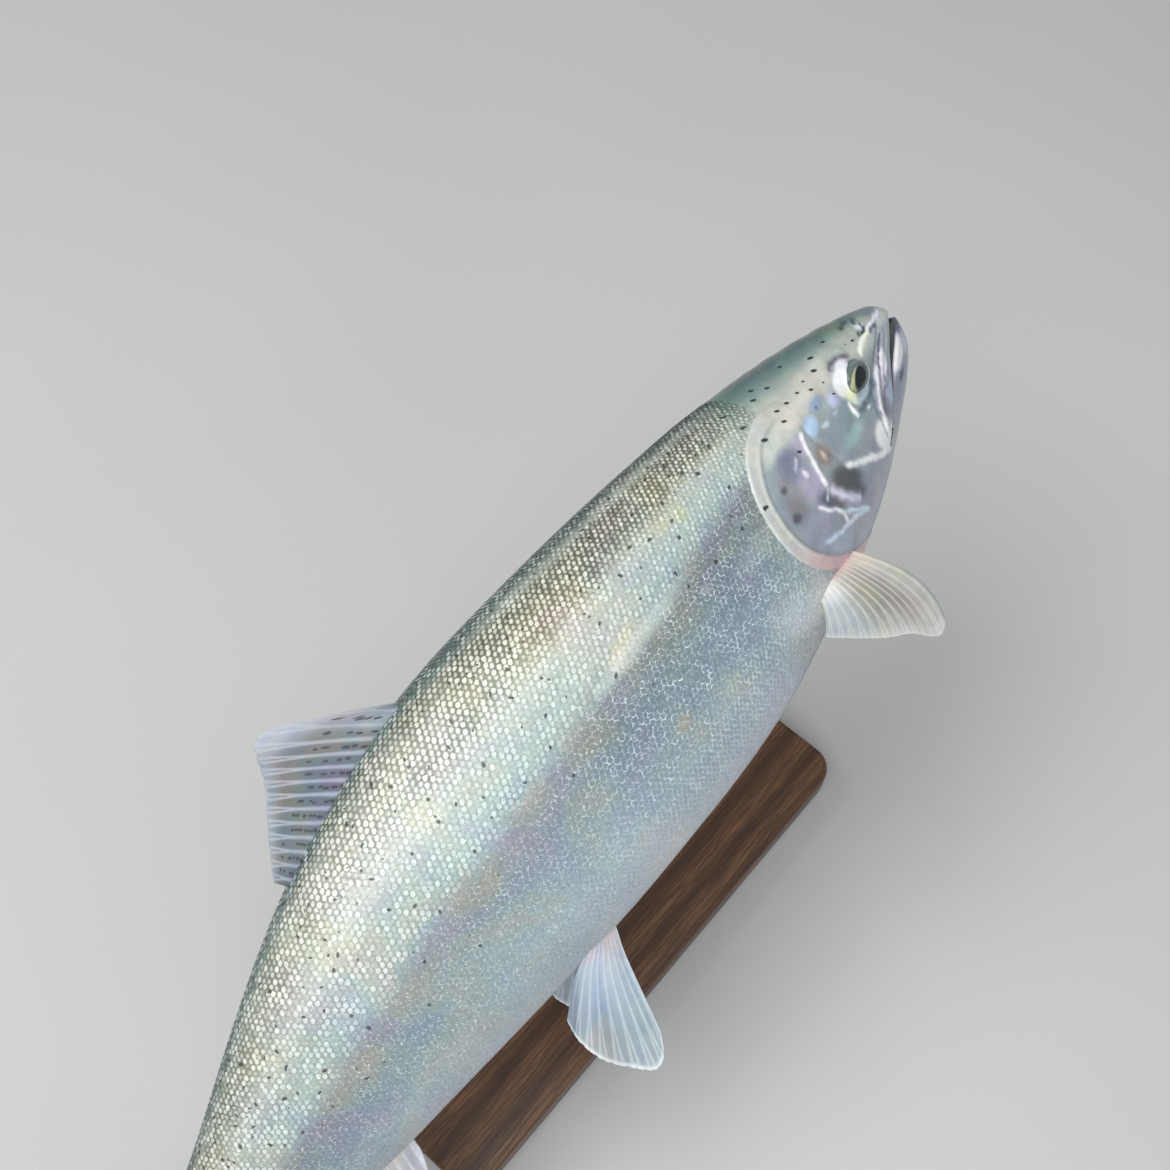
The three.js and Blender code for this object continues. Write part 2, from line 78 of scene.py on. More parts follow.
def through(table):
    """A smooth curve through (x, value) rows, in cubic pieces; a row's slope is its neighbours'."""
    x, y = np.array(table, float).T
    before = np.maximum(np.arange(len(x)) - 1, 0)
    after = np.minimum(np.arange(len(x)) + 1, len(x) - 1)
    slope = (y[after] - y[before]) / (x[after] - x[before])

    def curve(at):
        t = np.clip(at, x[0], x[-1])
        i = np.clip(np.searchsorted(x, t, side="right") - 1, 0, len(x) - 2)
        h = x[i + 1] - x[i]
        u = (t - x[i]) / h
        rise = y[i] * (1 + 2 * u) * (1 - u) ** 2 + y[i + 1] * u * u * (3 - 2 * u)
        return rise + h * (slope[i] * u * (1 - u) ** 2 - slope[i + 1] * u * u * (1 - u))

    return curve


back, belly, half_width, widest_at, lateral_line = (
    through(np.array(table) / 1000) for table in (BACK, BELLY, HALF_WIDTH, WIDEST_AT, LATERAL_LINE))


def unit(v):
    """The vectors at length 1."""
    return v / np.maximum(np.linalg.norm(v, axis=-1, keepdims=True), 1e-12)


def smooth(x, start, end):
    """0 before start and 1 after end, turning smoothly between them."""
    t = np.clip((x - start) / (end - start), 0, 1)
    return t * t * (3 - 2 * t)


def bell(x, width):
    """1 at 0, falling off on both sides."""
    return np.exp(-(x / width) ** 2)


def rounding(s, length):
    """A quarter circle: 0 at the snout's front, 1 from that length on."""
    return np.sqrt(1 - np.clip(1 - s / length, 0, 1) ** 2)


def section(s):
    """Top, bottom, half width and height of the widest place of the section at share s."""
    deep = rounding(s, BLUNT_DEEP)
    mix = lambda z: (MOUTH_FRONT + (z - MOUTH_FRONT) * deep) * FORK_LENGTH
    half = half_width(s) * rounding(s, BLUNT_WIDE) * FORK_LENGTH
    return mix(back(s)), mix(belly(s)), half, mix(widest_at(s))


def surface(s, a):
    """
    Point of the straight body at share s and angle a: 0 at the back, pi at the belly, going down
    the right side. Each section is two halves of superellipses that meet at its widest place.
    """
    top, bottom, half, middle = section(s)
    upper = np.cos(a) > 0
    power = np.where(upper, TOP_POWER, BOTTOM_POWER)
    shape = lambda v: np.sign(v) * np.abs(v) ** (2 / power)
    z = middle + shape(np.cos(a)) * np.where(upper, top - middle, middle - bottom)
    return np.stack([-s * FORK_LENGTH + 0 * a, -shape(np.sin(a)) * half, z], -1)


def angle_at(s, z):
    """Angle of the section at share s where its side has height z, in metres."""
    top, bottom, half, middle = section(s)
    upper = z > middle
    reach = np.where(upper, (z - middle) / (top - middle), (middle - z) / (middle - bottom))
    turn = np.arccos(np.clip(reach, 0, 1) ** (np.where(upper, TOP_POWER, BOTTOM_POWER) / 2))
    return np.where(upper, turn, np.pi - turn)


def flank(s, z):
    """Half width of the body at share s and height z, in metres."""
    return -surface(s, angle_at(s, z))[..., 1]


def running(steps):
    """Running total of the steps, starting with 0."""
    return np.concatenate([[0], np.cumsum(steps)])


# The backbone: at even shares, its place and the directions forward, left and up there.
STEPS = 400
even_shares = np.linspace(0, 1, STEPS + 1)
turn, lift = (np.radians(through(table)(even_shares * 1000)) for table in (YAW, PITCH))
spine_forward = np.stack([np.cos(lift) * np.cos(turn), np.cos(lift) * np.sin(turn), np.sin(lift)], 1)
spine_left = np.stack([-np.sin(turn), np.cos(turn), 0 * turn], 1)
spine_up = np.cross(spine_forward, spine_left)
spine_at = np.zeros((STEPS + 1, 3))
spine_at[1:] = np.cumsum(-(spine_forward[1:] + spine_forward[:-1]) / 2 * FORK_LENGTH / STEPS, 0)
spine_at -= spine_at[round(MIDDLE * STEPS)]
attitude = np.array(Matrix.Rotation(-math.radians(NOSE_UP_DEG), 3, "Y")
                    @ Matrix.Rotation(-math.radians(BANK_DEG), 3, "X"))


def place(p):
    """Straight points bent along the backbone and put into the swimming attitude over the stand."""
    p = np.asarray(p, float)
    s = -p[..., 0] / FORK_LENGTH
    cell = np.clip(s, 0, 1) * STEPS
    i = np.minimum(cell.astype(int), STEPS - 1)
    w = (cell - i)[..., None]
    mix = lambda rows: rows[i] * (1 - w) + rows[i + 1] * w
    beyond = (np.clip(s, 0, 1) - s)[..., None] * FORK_LENGTH
    q = mix(spine_at) + unit(mix(spine_left)) * p[..., 1:2] + unit(mix(spine_up)) * p[..., 2:3]
    q = q + unit(mix(spine_forward)) * beyond
    return q @ attitude.T + np.array(OVER_STAND) + np.array([0, 0, MIDDLE_HEIGHT])


# Girth: how far round the section a place is, from the lateral line up to the back (+1) or down
# to the belly (-1), by the distance along the skin.
GIRTH_SHARES = np.linspace(0.0004, BODY_END, 600)
GIRTH_ANGLES = np.linspace(0, np.pi, 361)
rings = surface(GIRTH_SHARES[:, None], GIRTH_ANGLES[None])
RING_ARC = np.array([running(row) for row in np.linalg.norm(np.diff(rings, axis=1), axis=2)])
line_angle = angle_at(GIRTH_SHARES, lateral_line(GIRTH_SHARES) * FORK_LENGTH)
UP_ARC = np.array([np.interp(t, GIRTH_ANGLES, row) for t, row in zip(line_angle, RING_ARC)])
DOWN_ARC = RING_ARC[:, -1] - UP_ARC
METRES_UP = UP_ARC[:, None] - RING_ARC
BANDS = np.linspace(-1, 1, 241)
BAND_ANGLE = np.array([
    np.interp(-np.where(BANDS > 0, BANDS * up, BANDS * down), -row, GIRTH_ANGLES)
    for up, down, row in zip(UP_ARC, DOWN_ARC, METRES_UP)])


def table_at(table, row, column):
    """Value of a table between its entries, by straight lines both ways."""
    i = np.clip(row.astype(int), 0, table.shape[0] - 2)
    j = np.clip(column.astype(int), 0, table.shape[1] - 2)
    u, v = row - i, column - j
    near = table[i, j] * (1 - v) + table[i, j + 1] * v
    far = table[i + 1, j] * (1 - v) + table[i + 1, j + 1] * v
    return near * (1 - u) + far * u


def share_row(s):
    """Row of the girth tables for share s, between whole rows too."""
    span = GIRTH_SHARES[-1] - GIRTH_SHARES[0]
    return np.clip((s - GIRTH_SHARES[0]) / span, 0, 1) * (len(GIRTH_SHARES) - 1)


def girth_of_angle(s, a):
    """How far above the lateral line, along the skin, the angle a is, in metres."""
    return table_at(METRES_UP, share_row(s), a / np.pi * (len(GIRTH_ANGLES) - 1))


def girth_reach(s):
    """How far the back is above the lateral line along the skin, and the belly below it."""
    return np.interp(s, GIRTH_SHARES, UP_ARC), np.interp(s, GIRTH_SHARES, DOWN_ARC)


def band_of(s, metres_up):
    """A distance above the lateral line as a share, from -1 at the belly to 1 at the back."""
    up, down = girth_reach(s)
    return np.clip(np.where(metres_up > 0, metres_up / up, metres_up / down), -1, 1)


def angle_of_girth(s, metres_up):
    """Angle of the section at share s that lies that far above the lateral line along the skin."""
    return table_at(BAND_ANGLE, share_row(s), (band_of(s, metres_up) + 1) / 2 * (len(BANDS) - 1))


def put_in_scene(name, data):
    """A new object of the scene, made of that mesh, camera or lamp."""
    made = bpy.data.objects.new(name, data)
    bpy.context.scene.collection.objects.link(made)
    return made


def closed_mesh(name, points, face_groups):
    """A mesh object from points and arrays of faces with equal corner counts."""
    mesh = bpy.data.meshes.new(name)
    mesh.vertices.add(len(points))
    mesh.vertices.foreach_set("co", np.asarray(points, np.float32).ravel())
    corners = np.concatenate([f.ravel() for f in face_groups]).astype(np.int32)
    counts = np.concatenate([np.full(len(f), f.shape[1]) for f in face_groups])
    mesh.loops.add(len(corners))
    mesh.loops.foreach_set("vertex_index", corners)
    mesh.polygons.add(len(counts))
    mesh.polygons.foreach_set("loop_start", running(counts[:-1]).astype(np.int32))
    mesh.polygons.foreach_set("use_smooth", np.ones(len(counts), bool))
    mesh.update(calc_edges=True)
    return put_in_scene(name, mesh)


def grid_quads(grid):
    """Quads between the neighbouring rows and columns of a grid of point numbers."""
    corners = grid[:-1, :-1], grid[:-1, 1:], grid[1:, 1:], grid[1:, :-1]
    return np.stack(corners, -1).reshape(-1, 4)


def facing_out(points, faces):
    """The faces, turned over together if they face the middle of the points."""
    a, b, c = (points[faces[:, k]] for k in (0, 1, 2))
    inward = (np.cross(b - a, c - a) * (a - points.mean(0))).sum() < 0
    return faces[:, ::-1] if inward else faces


def attribute(piece, name, values):
    """Stores one number per point of the mesh, or one colour."""
    values = np.asarray(values, np.float32)
    if values.ndim == 1:
        piece.data.attributes.new(name, "FLOAT", "POINT").data.foreach_set("value", values)
    else:
        opaque = np.concatenate([values, np.ones((len(values), 1), np.float32)], 1)
        layer = piece.data.attributes.new(name, "FLOAT_COLOR", "POINT")
        layer.data.foreach_set("color", opaque.ravel())


def corner_map(piece, name, uv):
    """Stores a UV map from a pair per face corner."""
    layer = piece.data.uv_layers.new(name=name)
    layer.data.foreach_set("uv", np.asarray(uv, np.float32).ravel())


def corner_points(piece):
    """The number of the point at each face corner."""
    index = np.empty(len(piece.data.loops), np.int32)
    piece.data.loops.foreach_get("vertex_index", index)
    return index


# ------------------------------------------------------------------ markings
# A trout's colours: blue-green back, silver side with a mauve band along the lateral line, pale
# belly, a grey and mauve head with cream, blue and pink places, and small black spots. They are
# painted by formula from where a point lies on the body, the same for skin and scales. Part of
# them is painted light: lighter and darker bands and stretches where light from above falls on
# the body or not, and painted reflections and highlights on the head.


def hue(red, green, blue):
    """A colour given as 0 to 255 screen values, as linear light."""
    c = np.array([red, green, blue]) / 255
    return np.where(c <= 0.04045, c / 12.92, ((c + 0.055) / 1.055) ** 2.4)


def over(colour, new, weight):
    """The colour with a new one over it at some weight: screen values, or linear light."""
    new = hue(*new) if isinstance(new, tuple) else new
    return colour + (new - colour) * np.asarray(weight)[..., None]


# Partly painted light: the upper flank is lighter and the side just below the lateral line darker, as
# light falls from above.
BODY_BANDS = [  # from the belly (-1) over the lateral line (0) to the back (1)
    (-1, (216, 216, 216)), (-0.8, (196, 198, 204)), (-0.6, (184, 192, 200)),
    (-0.42, (186, 198, 204)), (-0.25, (158, 172, 178)), (-0.1, (142, 152, 158)),
    (0, (150, 148, 148)), (0.07, (150, 148, 150)), (0.15, (154, 166, 170)), (0.24, (178, 192, 187)),
    (0.38, (182, 188, 182)), (0.5, (206, 206, 192)), (0.68, (212, 212, 196)),
    (0.84, (174, 178, 164)), (0.93, (88, 106, 98)), (1, (54, 76, 72))]
HEAD_BANDS = [
    (-1, (192, 194, 200)), (-0.7, (168, 172, 184)), (-0.4, (146, 150, 162)),
    (-0.15, (146, 156, 162)), (0.1, (158, 168, 170)), (0.3, (180, 182, 176)),
    (0.5, (166, 174, 166)), (0.68, (112, 138, 128)), (0.85, (78, 110, 102)), (1, (66, 94, 90))]
# Coloured places, most of them on the head: partly its own colours and partly painted reflections.
# Share and height in thousandths, half length and half height in mm, tilt in degrees, how far it
# is raised in mm, how strongly it colours, and its colour.
PATCHES = [(share / 1000, height / 1000, *rest) for share, height, *rest in [
    (14, 14, 9, 6, 25, 0.2, 0.85, (112, 128, 144)), (12, 5, 8, 3, 10, 0, 0.8, (198, 202, 200)),
    (110, 30, 16, 6, 10, 0, 0.75, (196, 192, 184)), (152, 33, 14, 5, 5, 0, 0.8, (206, 202, 194)),
    (80, 26, 9, 4, 10, 0, 0.5, (168, 176, 168)), (176, 34, 9, 5, -10, 0, 0.7, (198, 202, 192)),
    (52, 17, 5, 2.6, 20, 0, 0.5, (150, 152, 150)),
    (61, -1, 6, 3.2, -20, -0.2, 0.7, (118, 134, 146)),
    (42.5, 18.8, 1.4, 1.4, 0, 0.5, 0.95, (204, 212, 218)),
    (85, 18.5, 5, 2.4, -8, 0.2, 0.9, (222, 224, 234)),
    (96.5, 11.5, 4.2, 5.6, 50, 0.35, 1, (240, 241, 235)),
    (99, 3, 3, 4.4, 0, 0, 0.85, (218, 224, 184)),
    (112.5, 11.5, 3.4, 3.2, 0, 0.7, 0.9, (182, 188, 216)),
    (124, 21.5, 5, 2.5, 5, 0.3, 0.75, (126, 152, 192)),
    (142, 17, 4.6, 3.4, -20, 0.3, 0.85, (170, 198, 228)),
    (127.5, 20.5, 0.9, 0.6, 0, 0, 0.8, (72, 92, 146)),
    (133, 8.5, 2.6, 1, 20, 0.15, 0.75, (206, 218, 218)),
    (120, 6.5, 1.7, 0.7, 10, 0.1, 0.8, (218, 226, 224)),
    (118, -1, 8, 5.5, 0, 0.3, 0.7, (132, 152, 154)), (122, -15, 8, 3, 5, 0, 0.75, (154, 188, 184)),
    (118, -26, 8, 3.6, -25, -0.2, 0.6, (150, 162, 168)), (136, 0, 6, 4, 0, 0, 0.6, (140, 150, 158)),
    (153, -1, 4.2, 4.8, 0, -0.2, 0.85, (146, 128, 122)),
    (153.5, -1, 1.4, 2.4, 20, 0.1, 0.7, (212, 192, 184)),
    (152, -31, 10.8, 6.8, 62, -0.6, 0.97, (76, 78, 92)),
    (175, -25, 7.6, 3.8, 68, -0.4, 0.92, (94, 96, 110)),
    (163, 17, 5, 4.4, 0, 0.2, 0.75, (178, 166, 194)),
    (180, 17, 8, 6, -10, 0.3, 0.85, (122, 122, 150)),
    (178, -3, 6.5, 7, 0, 0.2, 0.85, (176, 164, 192)), (194, 4, 5, 9, 0, 0, 0.6, (140, 134, 148)),
    (200, -6, 4.6, 7, 0, 0, 0.75, (126, 118, 126)),
    (204.5, -9, 2.4, 2, 20, -0.2, 0.85, (88, 80, 90)),
    (196.5, 10.5, 1.9, 1.4, -30, 0, 0.85, (76, 76, 92)),
    (195, -30, 8, 8, 0, 0.2, 0.75, (152, 154, 172)),
    (185, -53, 8, 4.2, 15, 0, 0.75, (164, 176, 196)),
    (176, 3.5, 1.2, 1.8, 0, 0.2, 0.9, (232, 228, 238)),
    (54, -8, 6.4, 2.4, -36, 0.25, 0.9, (238, 228, 238)),
    (64, -15, 5, 1.8, -38, 0, 0.7, (218, 210, 226)),
    (81, -28, 5, 3.2, -55, -0.25, 0.85, (120, 116, 126)),
    (67, -26, 5, 2.4, -40, 0, 0.75, (172, 184, 206)),
    (93.5, -14.5, 1.7, 0.8, -10, 0.2, 0.9, (236, 236, 240)),
    (97.5, -39, 7, 6.6, 0, 0.2, 0.92, (244, 242, 244)),
    (135, -43, 6, 3.4, 10, 0, 0.6, (142, 150, 162)), (145, -55, 8, 3.2, 0, 0, 0.6, (150, 148, 168)),
    (8, -11.5, 9, 4.8, -12, 0, 0.97, (84, 80, 132)),
    (34, -18, 9.5, 3.6, -22, 0.2, 0.98, (238, 238, 250)),
    (18, -20.5, 6, 3, -36, 0, 0.85, (198, 208, 224)),
    (44, -30.5, 5.6, 2.8, -12, 0, 0.6, (132, 146, 160)),
    (44, -30.5, 3.4, 1.5, -12, -0.2, 0.92, (68, 82, 106)),
    (62, -41.5, 8, 3.4, -36, 0, 0.6, (134, 148, 162)),
    (200, -74, 9, 5, 0, 0, 0.75, (218, 164, 162)), (224, -66, 8, 7, 0, 0, 0.6, (222, 204, 202)),
    (250, -45, 14, 7, 40, 0, 0.4, (214, 210, 212)), (270, 65, 5, 3.5, 10, 0, 0.4, (224, 206, 168)),
    (256, 60, 3, 4, 10, 0, 0.45, (222, 218, 160)), (345, 42, 9, 3, -10, 0, 0.5, (230, 228, 178)),
    (354, 37, 5, 3, -25, 0, 0.45, (228, 206, 196)), (315, -42, 3, 5, 60, 0, 0.4, (216, 212, 180)),
    (358, -28, 3, 4.5, 60, 0, 0.5, (222, 190, 164)), (284, 17, 2, 2.5, 0, 0, 0.5, (222, 206, 208)),
    # Painted light: the front of the belly lightened where it lies in shade, a lighter stretch of the
    # lateral line behind the head, and a painted highlight along the upper flank.
    (242, -60, 17, 9, 20, 0, 0.75, (246, 244, 246)), (240, 2, 14, 5, 0, 0, 0.6, (196, 202, 200)),
    (335, 34, 24, 3.6, 0, 0, 0.55, (238, 244, 234))]]
# The pale lines on the jaws and bony edges are partly their own colour and partly painted highlights.
# Lines of the side view in thousandths, half width and rise in mm, strength and colour.
LINES = [(np.array(points) / 1000, *rest) for points, *rest in [
    ([(12, 10), (22, 10.5), (34, 12.2), (46, 12.5)], 0.8, 0.15, 0.9, (222, 222, 236)),
    ([(36, 12.2), (46, 13), (56, 12.2), (65.5, 8.5)], 1.15, 0.5, 1, (244, 242, 216)),
    ([(28, 9.5), (35, 10.3), (42, 10.5)], 0.75, -0.25, 0.85, (74, 84, 110)),
    ([(40.5, 25.2), (43.5, 27.2), (48, 28.2), (54, 28.6)], 0.75, -0.5, 1, (42, 56, 62)),
    ([(33.5, 21.2), (36.5, 23.4), (39.5, 23), (41, 20.8)], 0.65, -0.35, 0.9, (62, 76, 84)),
    ([(37.8, 20.5), (38.3, 16.8), (42, 15), (46.8, 15.6), (49.5, 18.5)], 0.8, -0.6, 1, (48, 58, 70)),
    ([(68, 14.5), (73.5, 19.5), (80, 23.5), (88, 25.2), (95.5, 22.5)], 1.1, -0.35, 0.85,
      (120, 108, 114)),
    ([(68, 19), (80, 30), (93, 30), (104, 22)], 2.2, 0.45, 0, (0, 0, 0)),
    ([(76, -5.8), (85, -7.6), (94, -7.2), (101, -3.5)], 1.2, 0.35, 0.85, (174, 192, 200)),
    ([(70, -5), (80, -10.5), (90, -12.2), (99, -10.5), (104, -8)], 1.7, -0.2, 0.8, (88, 108, 116)),
    ([(104.5, 2), (106.5, -5), (107.5, -12.5)], 0.9, 0.5, 0.95, (236, 242, 244)),
    ([(18, 12), (30, 8.5), (45, 3), (60, -1.5), (71, -6.5), (83, -13.5), (90.5, -24.5), (94.5, -37),
      (99, -54)], 0.6, -0.4, 0.55, (104, 112, 128)),
    ([(58, -3), (68, -9), (78, -16.5), (85.5, -25.5), (90.5, -36), (93.5, -45)], 1.15, 0.35, 0.95,
      (242, 234, 246)),
    ([(32, 3.5), (40, 2.2), (48, -1), (56, -5.6), (62, -10)], 0.55, -0.25, 0.9, (82, 70, 104)),
    ([(60, -14), (66, -19.5), (73, -22.5)], 0.5, -0.15, 0.7, (110, 100, 128)),
    ([(24, 4), (40, -3.5), (58, -12.5), (73, -23.5), (84, -36), (92, -50)], 0.55, -0.28, 0.45,
      (136, 124, 146)),
    ([(64, -4), (74, -12.5), (86, -16), (98, -12), (108, -2)], 1.6, 0.4, 0, (0, 0, 0)),
    ([(150, 22.5), (156, 18.5), (162.2, 8), (166.5, -3), (168.8, -11), (170.5, -16.5)], 1.05, 0.6,
      0.97, (244, 238, 242)),
    ([(171, 16.5), (176, 13.5), (181, 11.5)], 0.6, 0.2, 0.75, (204, 200, 224)),
    ([(170.5, -16.5), (165.5, -28.5), (158, -40.5), (151.5, -48)], 1.9, 0.4, 0.95, (204, 202, 222)),
    ([(170, -16), (174.5, -19.5), (178.5, -22.5)], 0.6, 0.2, 0.75, (216, 214, 224)),
    ([(188, -16), (184, -23.5), (178.5, -31), (174.5, -37.5), (174.5, -44.5), (177, -48)], 0.75,
      0.4, 0.95, (236, 234, 244)),
    ([(178.5, -32), (171, -40.5), (163, -48), (155, -55), (149, -61)], 0.8, 0.35, 0.9,
      (200, 216, 238)),
    ([(204, -38), (192, -43.5), (180, -47.5), (168, -50.5), (158, -55.5), (148, -62)], 1, 0.35, 0.9,
      (200, 214, 236)),
    ([(94, -56), (105, -49), (116, -43), (126.5, -35), (138, -27.5), (149, -17)], 1.3, 0.45, 0.95,
      (238, 242, 242)),
    ([(146, 28), (150, 12), (148.5, -4), (144, -16)], 1.1, -0.3, 0, (0, 0, 0)),
    ([(28, -34), (50, -47), (75, -60), (98, -68)], 1, -0.35, 0.3, (120, 126, 140)),
    ([(100, -60), (125, -68), (155, -75.5), (180, -74.5)], 0.9, -0.4, 0.4, (130, 132, 146)),
    ([(94, -68), (125, -74.5), (155, -81.5), (182, -80)], 0.9, -0.4, 0.4, (130, 132, 146)),
    ([(92, -74.5), (125, -80.5), (155, -87), (180, -86)], 0.8, -0.35, 0.4, (130, 132, 146)),
    ([(100, 31), (125, 34), (145, 38.5)], 1.2, -0.25, 0, (0, 0, 0)),
    ([(150, 47), (158, 54), (152, 64)], 1.3, -0.2, 0, (0, 0, 0))]]
COVER_EDGE = np.array([
    (150, 38), (160, 41.5), (171, 42.5), (183, 40.5), (194, 34), (204, 24), (210.5, 13), (214.5, 0),
    (216.5, -14), (214.5, -30), (207, -46), (195, -60), (179, -71), (160, -78), (136, -81),
    (112, -78)]) / 1000
MARGIN = 5.2  # mm, width of the pale fleshy margin behind the gill cover's plate
COVER_END, PATCHES_END = 0.26, 0.38  # shares that the gill cover and the patches do not pass
BRIGHTEST_BODY, BRIGHTEST_HEAD = 0.85, 0.9
HEAD_SPOTS = [  # share and height in thousandths, radius in mm
    (72, 35, 1), (57, 19, 0.8), (92, 38, 1.2), (101, 33, 1.2), (112, 51, 0.9), (115, 36, 0.7),
    (117, 29, 0.9), (136, 53, 1), (126, 36, 0.8), (144, 60, 1), (151, 57, 1.1), (139, 39, 1),
    (150, 42, 1), (154, 35, 1), (176, 55, 1.2), (176, 40, 1.3), (166, 16, 0.9), (176, 67, 1.1),
    (215, 15, 1.2), (105, 24, 0.5), (108, 14, 0.7), (64, 22, 0.4)]
BODY_SPOTS = [  # the larger spots of the right side: thousandths, mm above the lateral line
    (602, 64), (736, 23), (721, 27), (232, 35), (203, 25), (770, 26), (754, 23), (231, 27),
    (634, 60), (450, 72), (536, 58), (724, 6), (216, -7), (238, 41), (676, 12), (654, 57),
    (447, 48), (225, 22), (220, 9), (290, 2), (562, 26), (257, 27), (461, 66), (614, 30), (237, -4),
    (707, 19), (779, 36), (474, 68), (282, 24), (509, 68), (392, 45), (501, 52), (401, 42),
    (221, 37), (508, 59), (634, 15), (569, 65), (499, 73), (742, 14), (681, 31), (272, 48),
    (413, 35), (402, 69), (551, 19), (636, 7), (266, -2), (227, 48), (289, 57), (699, 16),
    (269, 15), (751, 37), (275, 35), (704, 40), (484, 51), (426, -1), (342, 56), (460, 43),
    (601, 39), (604, 32), (378, 63), (525, 31), (331, 42), (455, 29), (651, 46), (312, 26),
    (362, 7), (499, 30), (545, 10), (590, 52), (320, 60)]


def side_line(points, count=48):
    """A smooth line through (share, height) points of the side view, as metres, at even steps."""
    at = np.linspace(0, 1, len(points))
    s, z = (through(np.stack([at, points[:, k]], 1)) for k in (0, 1))
    t = np.linspace(0, 1, count)
    return np.stack([s(t), z(t)], 1) * FORK_LENGTH


def line_distance(points, s, z):
    """
    For places of the side view: distance to the line in metres, positive on the line's left as it
    runs (share to the right, height up), and how far along it the nearest point lies, 0 to 1.
    """
    line = side_line(points)
    here = np.stack([s * FORK_LENGTH, z * FORK_LENGTH], -1).reshape(-1, 2)
    best = np.full(len(here), 1e9)
    side = np.zeros(len(here))
    along = np.zeros(len(here))
    for k in range(len(line) - 1):
        step = line[k + 1] - line[k]
        off = here - line[k]
        t = np.clip(off @ step / (step @ step), 0, 1)
        gap = np.linalg.norm(off - t[:, None] * step, axis=1)
        nearer = gap < best
        best[nearer] = gap[nearer]
        side[nearer] = np.sign(step[0] * off[nearer, 1] - step[1] * off[nearer, 0])
        along[nearer] = (k + t[nearer]) / (len(line) - 1)
    shape = np.shape(s)
    return (best * np.where(side < 0, -1, 1)).reshape(shape), along.reshape(shape)


def tapered(along, end):
    """1 along a line, falling to 0 over an end share of it at both ends."""
    return smooth(along, 0.0, end) * smooth(1 - along, 0.0, end)


def bands(rows, band):
    """Colours blended between rows of (place, colour)."""
    at = np.array([row[0] for row in rows])
    colours = np.array([hue(*row[1]) for row in rows])
    return np.stack([np.interp(band, at, colours[:, k]) for k in range(3)], -1)


def ripple(s, z, scale, seed):
    """Soft seeded mottling, about -1 to 1: a sum of six waves in different directions."""
    draw = np.random.default_rng(seed)
    total = 0
    for _ in range(6):
        turn, phase, size = draw.uniform(0, 2 * np.pi, 2).tolist() + [draw.uniform(0.6, 1.5)]
        run = (s * np.cos(turn) + z * np.sin(turn)) * FORK_LENGTH / (scale * size)
        total = total + np.sin(2 * np.pi * run + phase)
    return total / 3


def head_share(s, z, edge):
    """1 on the bare head and gill cover with its margin, 0 on the scaled body behind them."""
    beside = np.where(s < 0.145, 1, 1 - smooth(edge, (MARGIN - 0.5) * MM, (MARGIN + 0.5) * MM))
    nape = smooth(z, 0.030, 0.042)
    return (beside * (1 - nape) + (1 - smooth(s, 0.150, 0.178)) * nape) * (s < 0.245)


# Painted light and shade: how bright the flank and the back are painted along the body, by share; 1
# leaves the bands' colours.
FLANK_LIGHT = through([
    [0.2, 1.0], [0.42, 0.96], [0.54, 0.80], [0.64, 0.72], [0.76, 0.62], [0.95, 0.72]])
BACK_LIGHT = through([
    [0.2, 0.85], [0.3, 0.95], [0.44, 0.98], [0.54, 1.30], [0.64, 1.02], [0.76, 0.62], [0.95, 0.8]])


def patch_reach(s, z, share, height, long, high, tilt):
    """Squared distance from a tilted oval's middle, 1 on its outline; tilt is up towards the tail."""
    c, n = math.cos(math.radians(tilt)), math.sin(math.radians(tilt))
    x, y = (s - share) * FORK_LENGTH / MM, (z - height) * FORK_LENGTH / MM
    return np.clip(((x * c + y * n) / long) ** 2 + ((y * c - x * n) / high) ** 2, 0, 30)


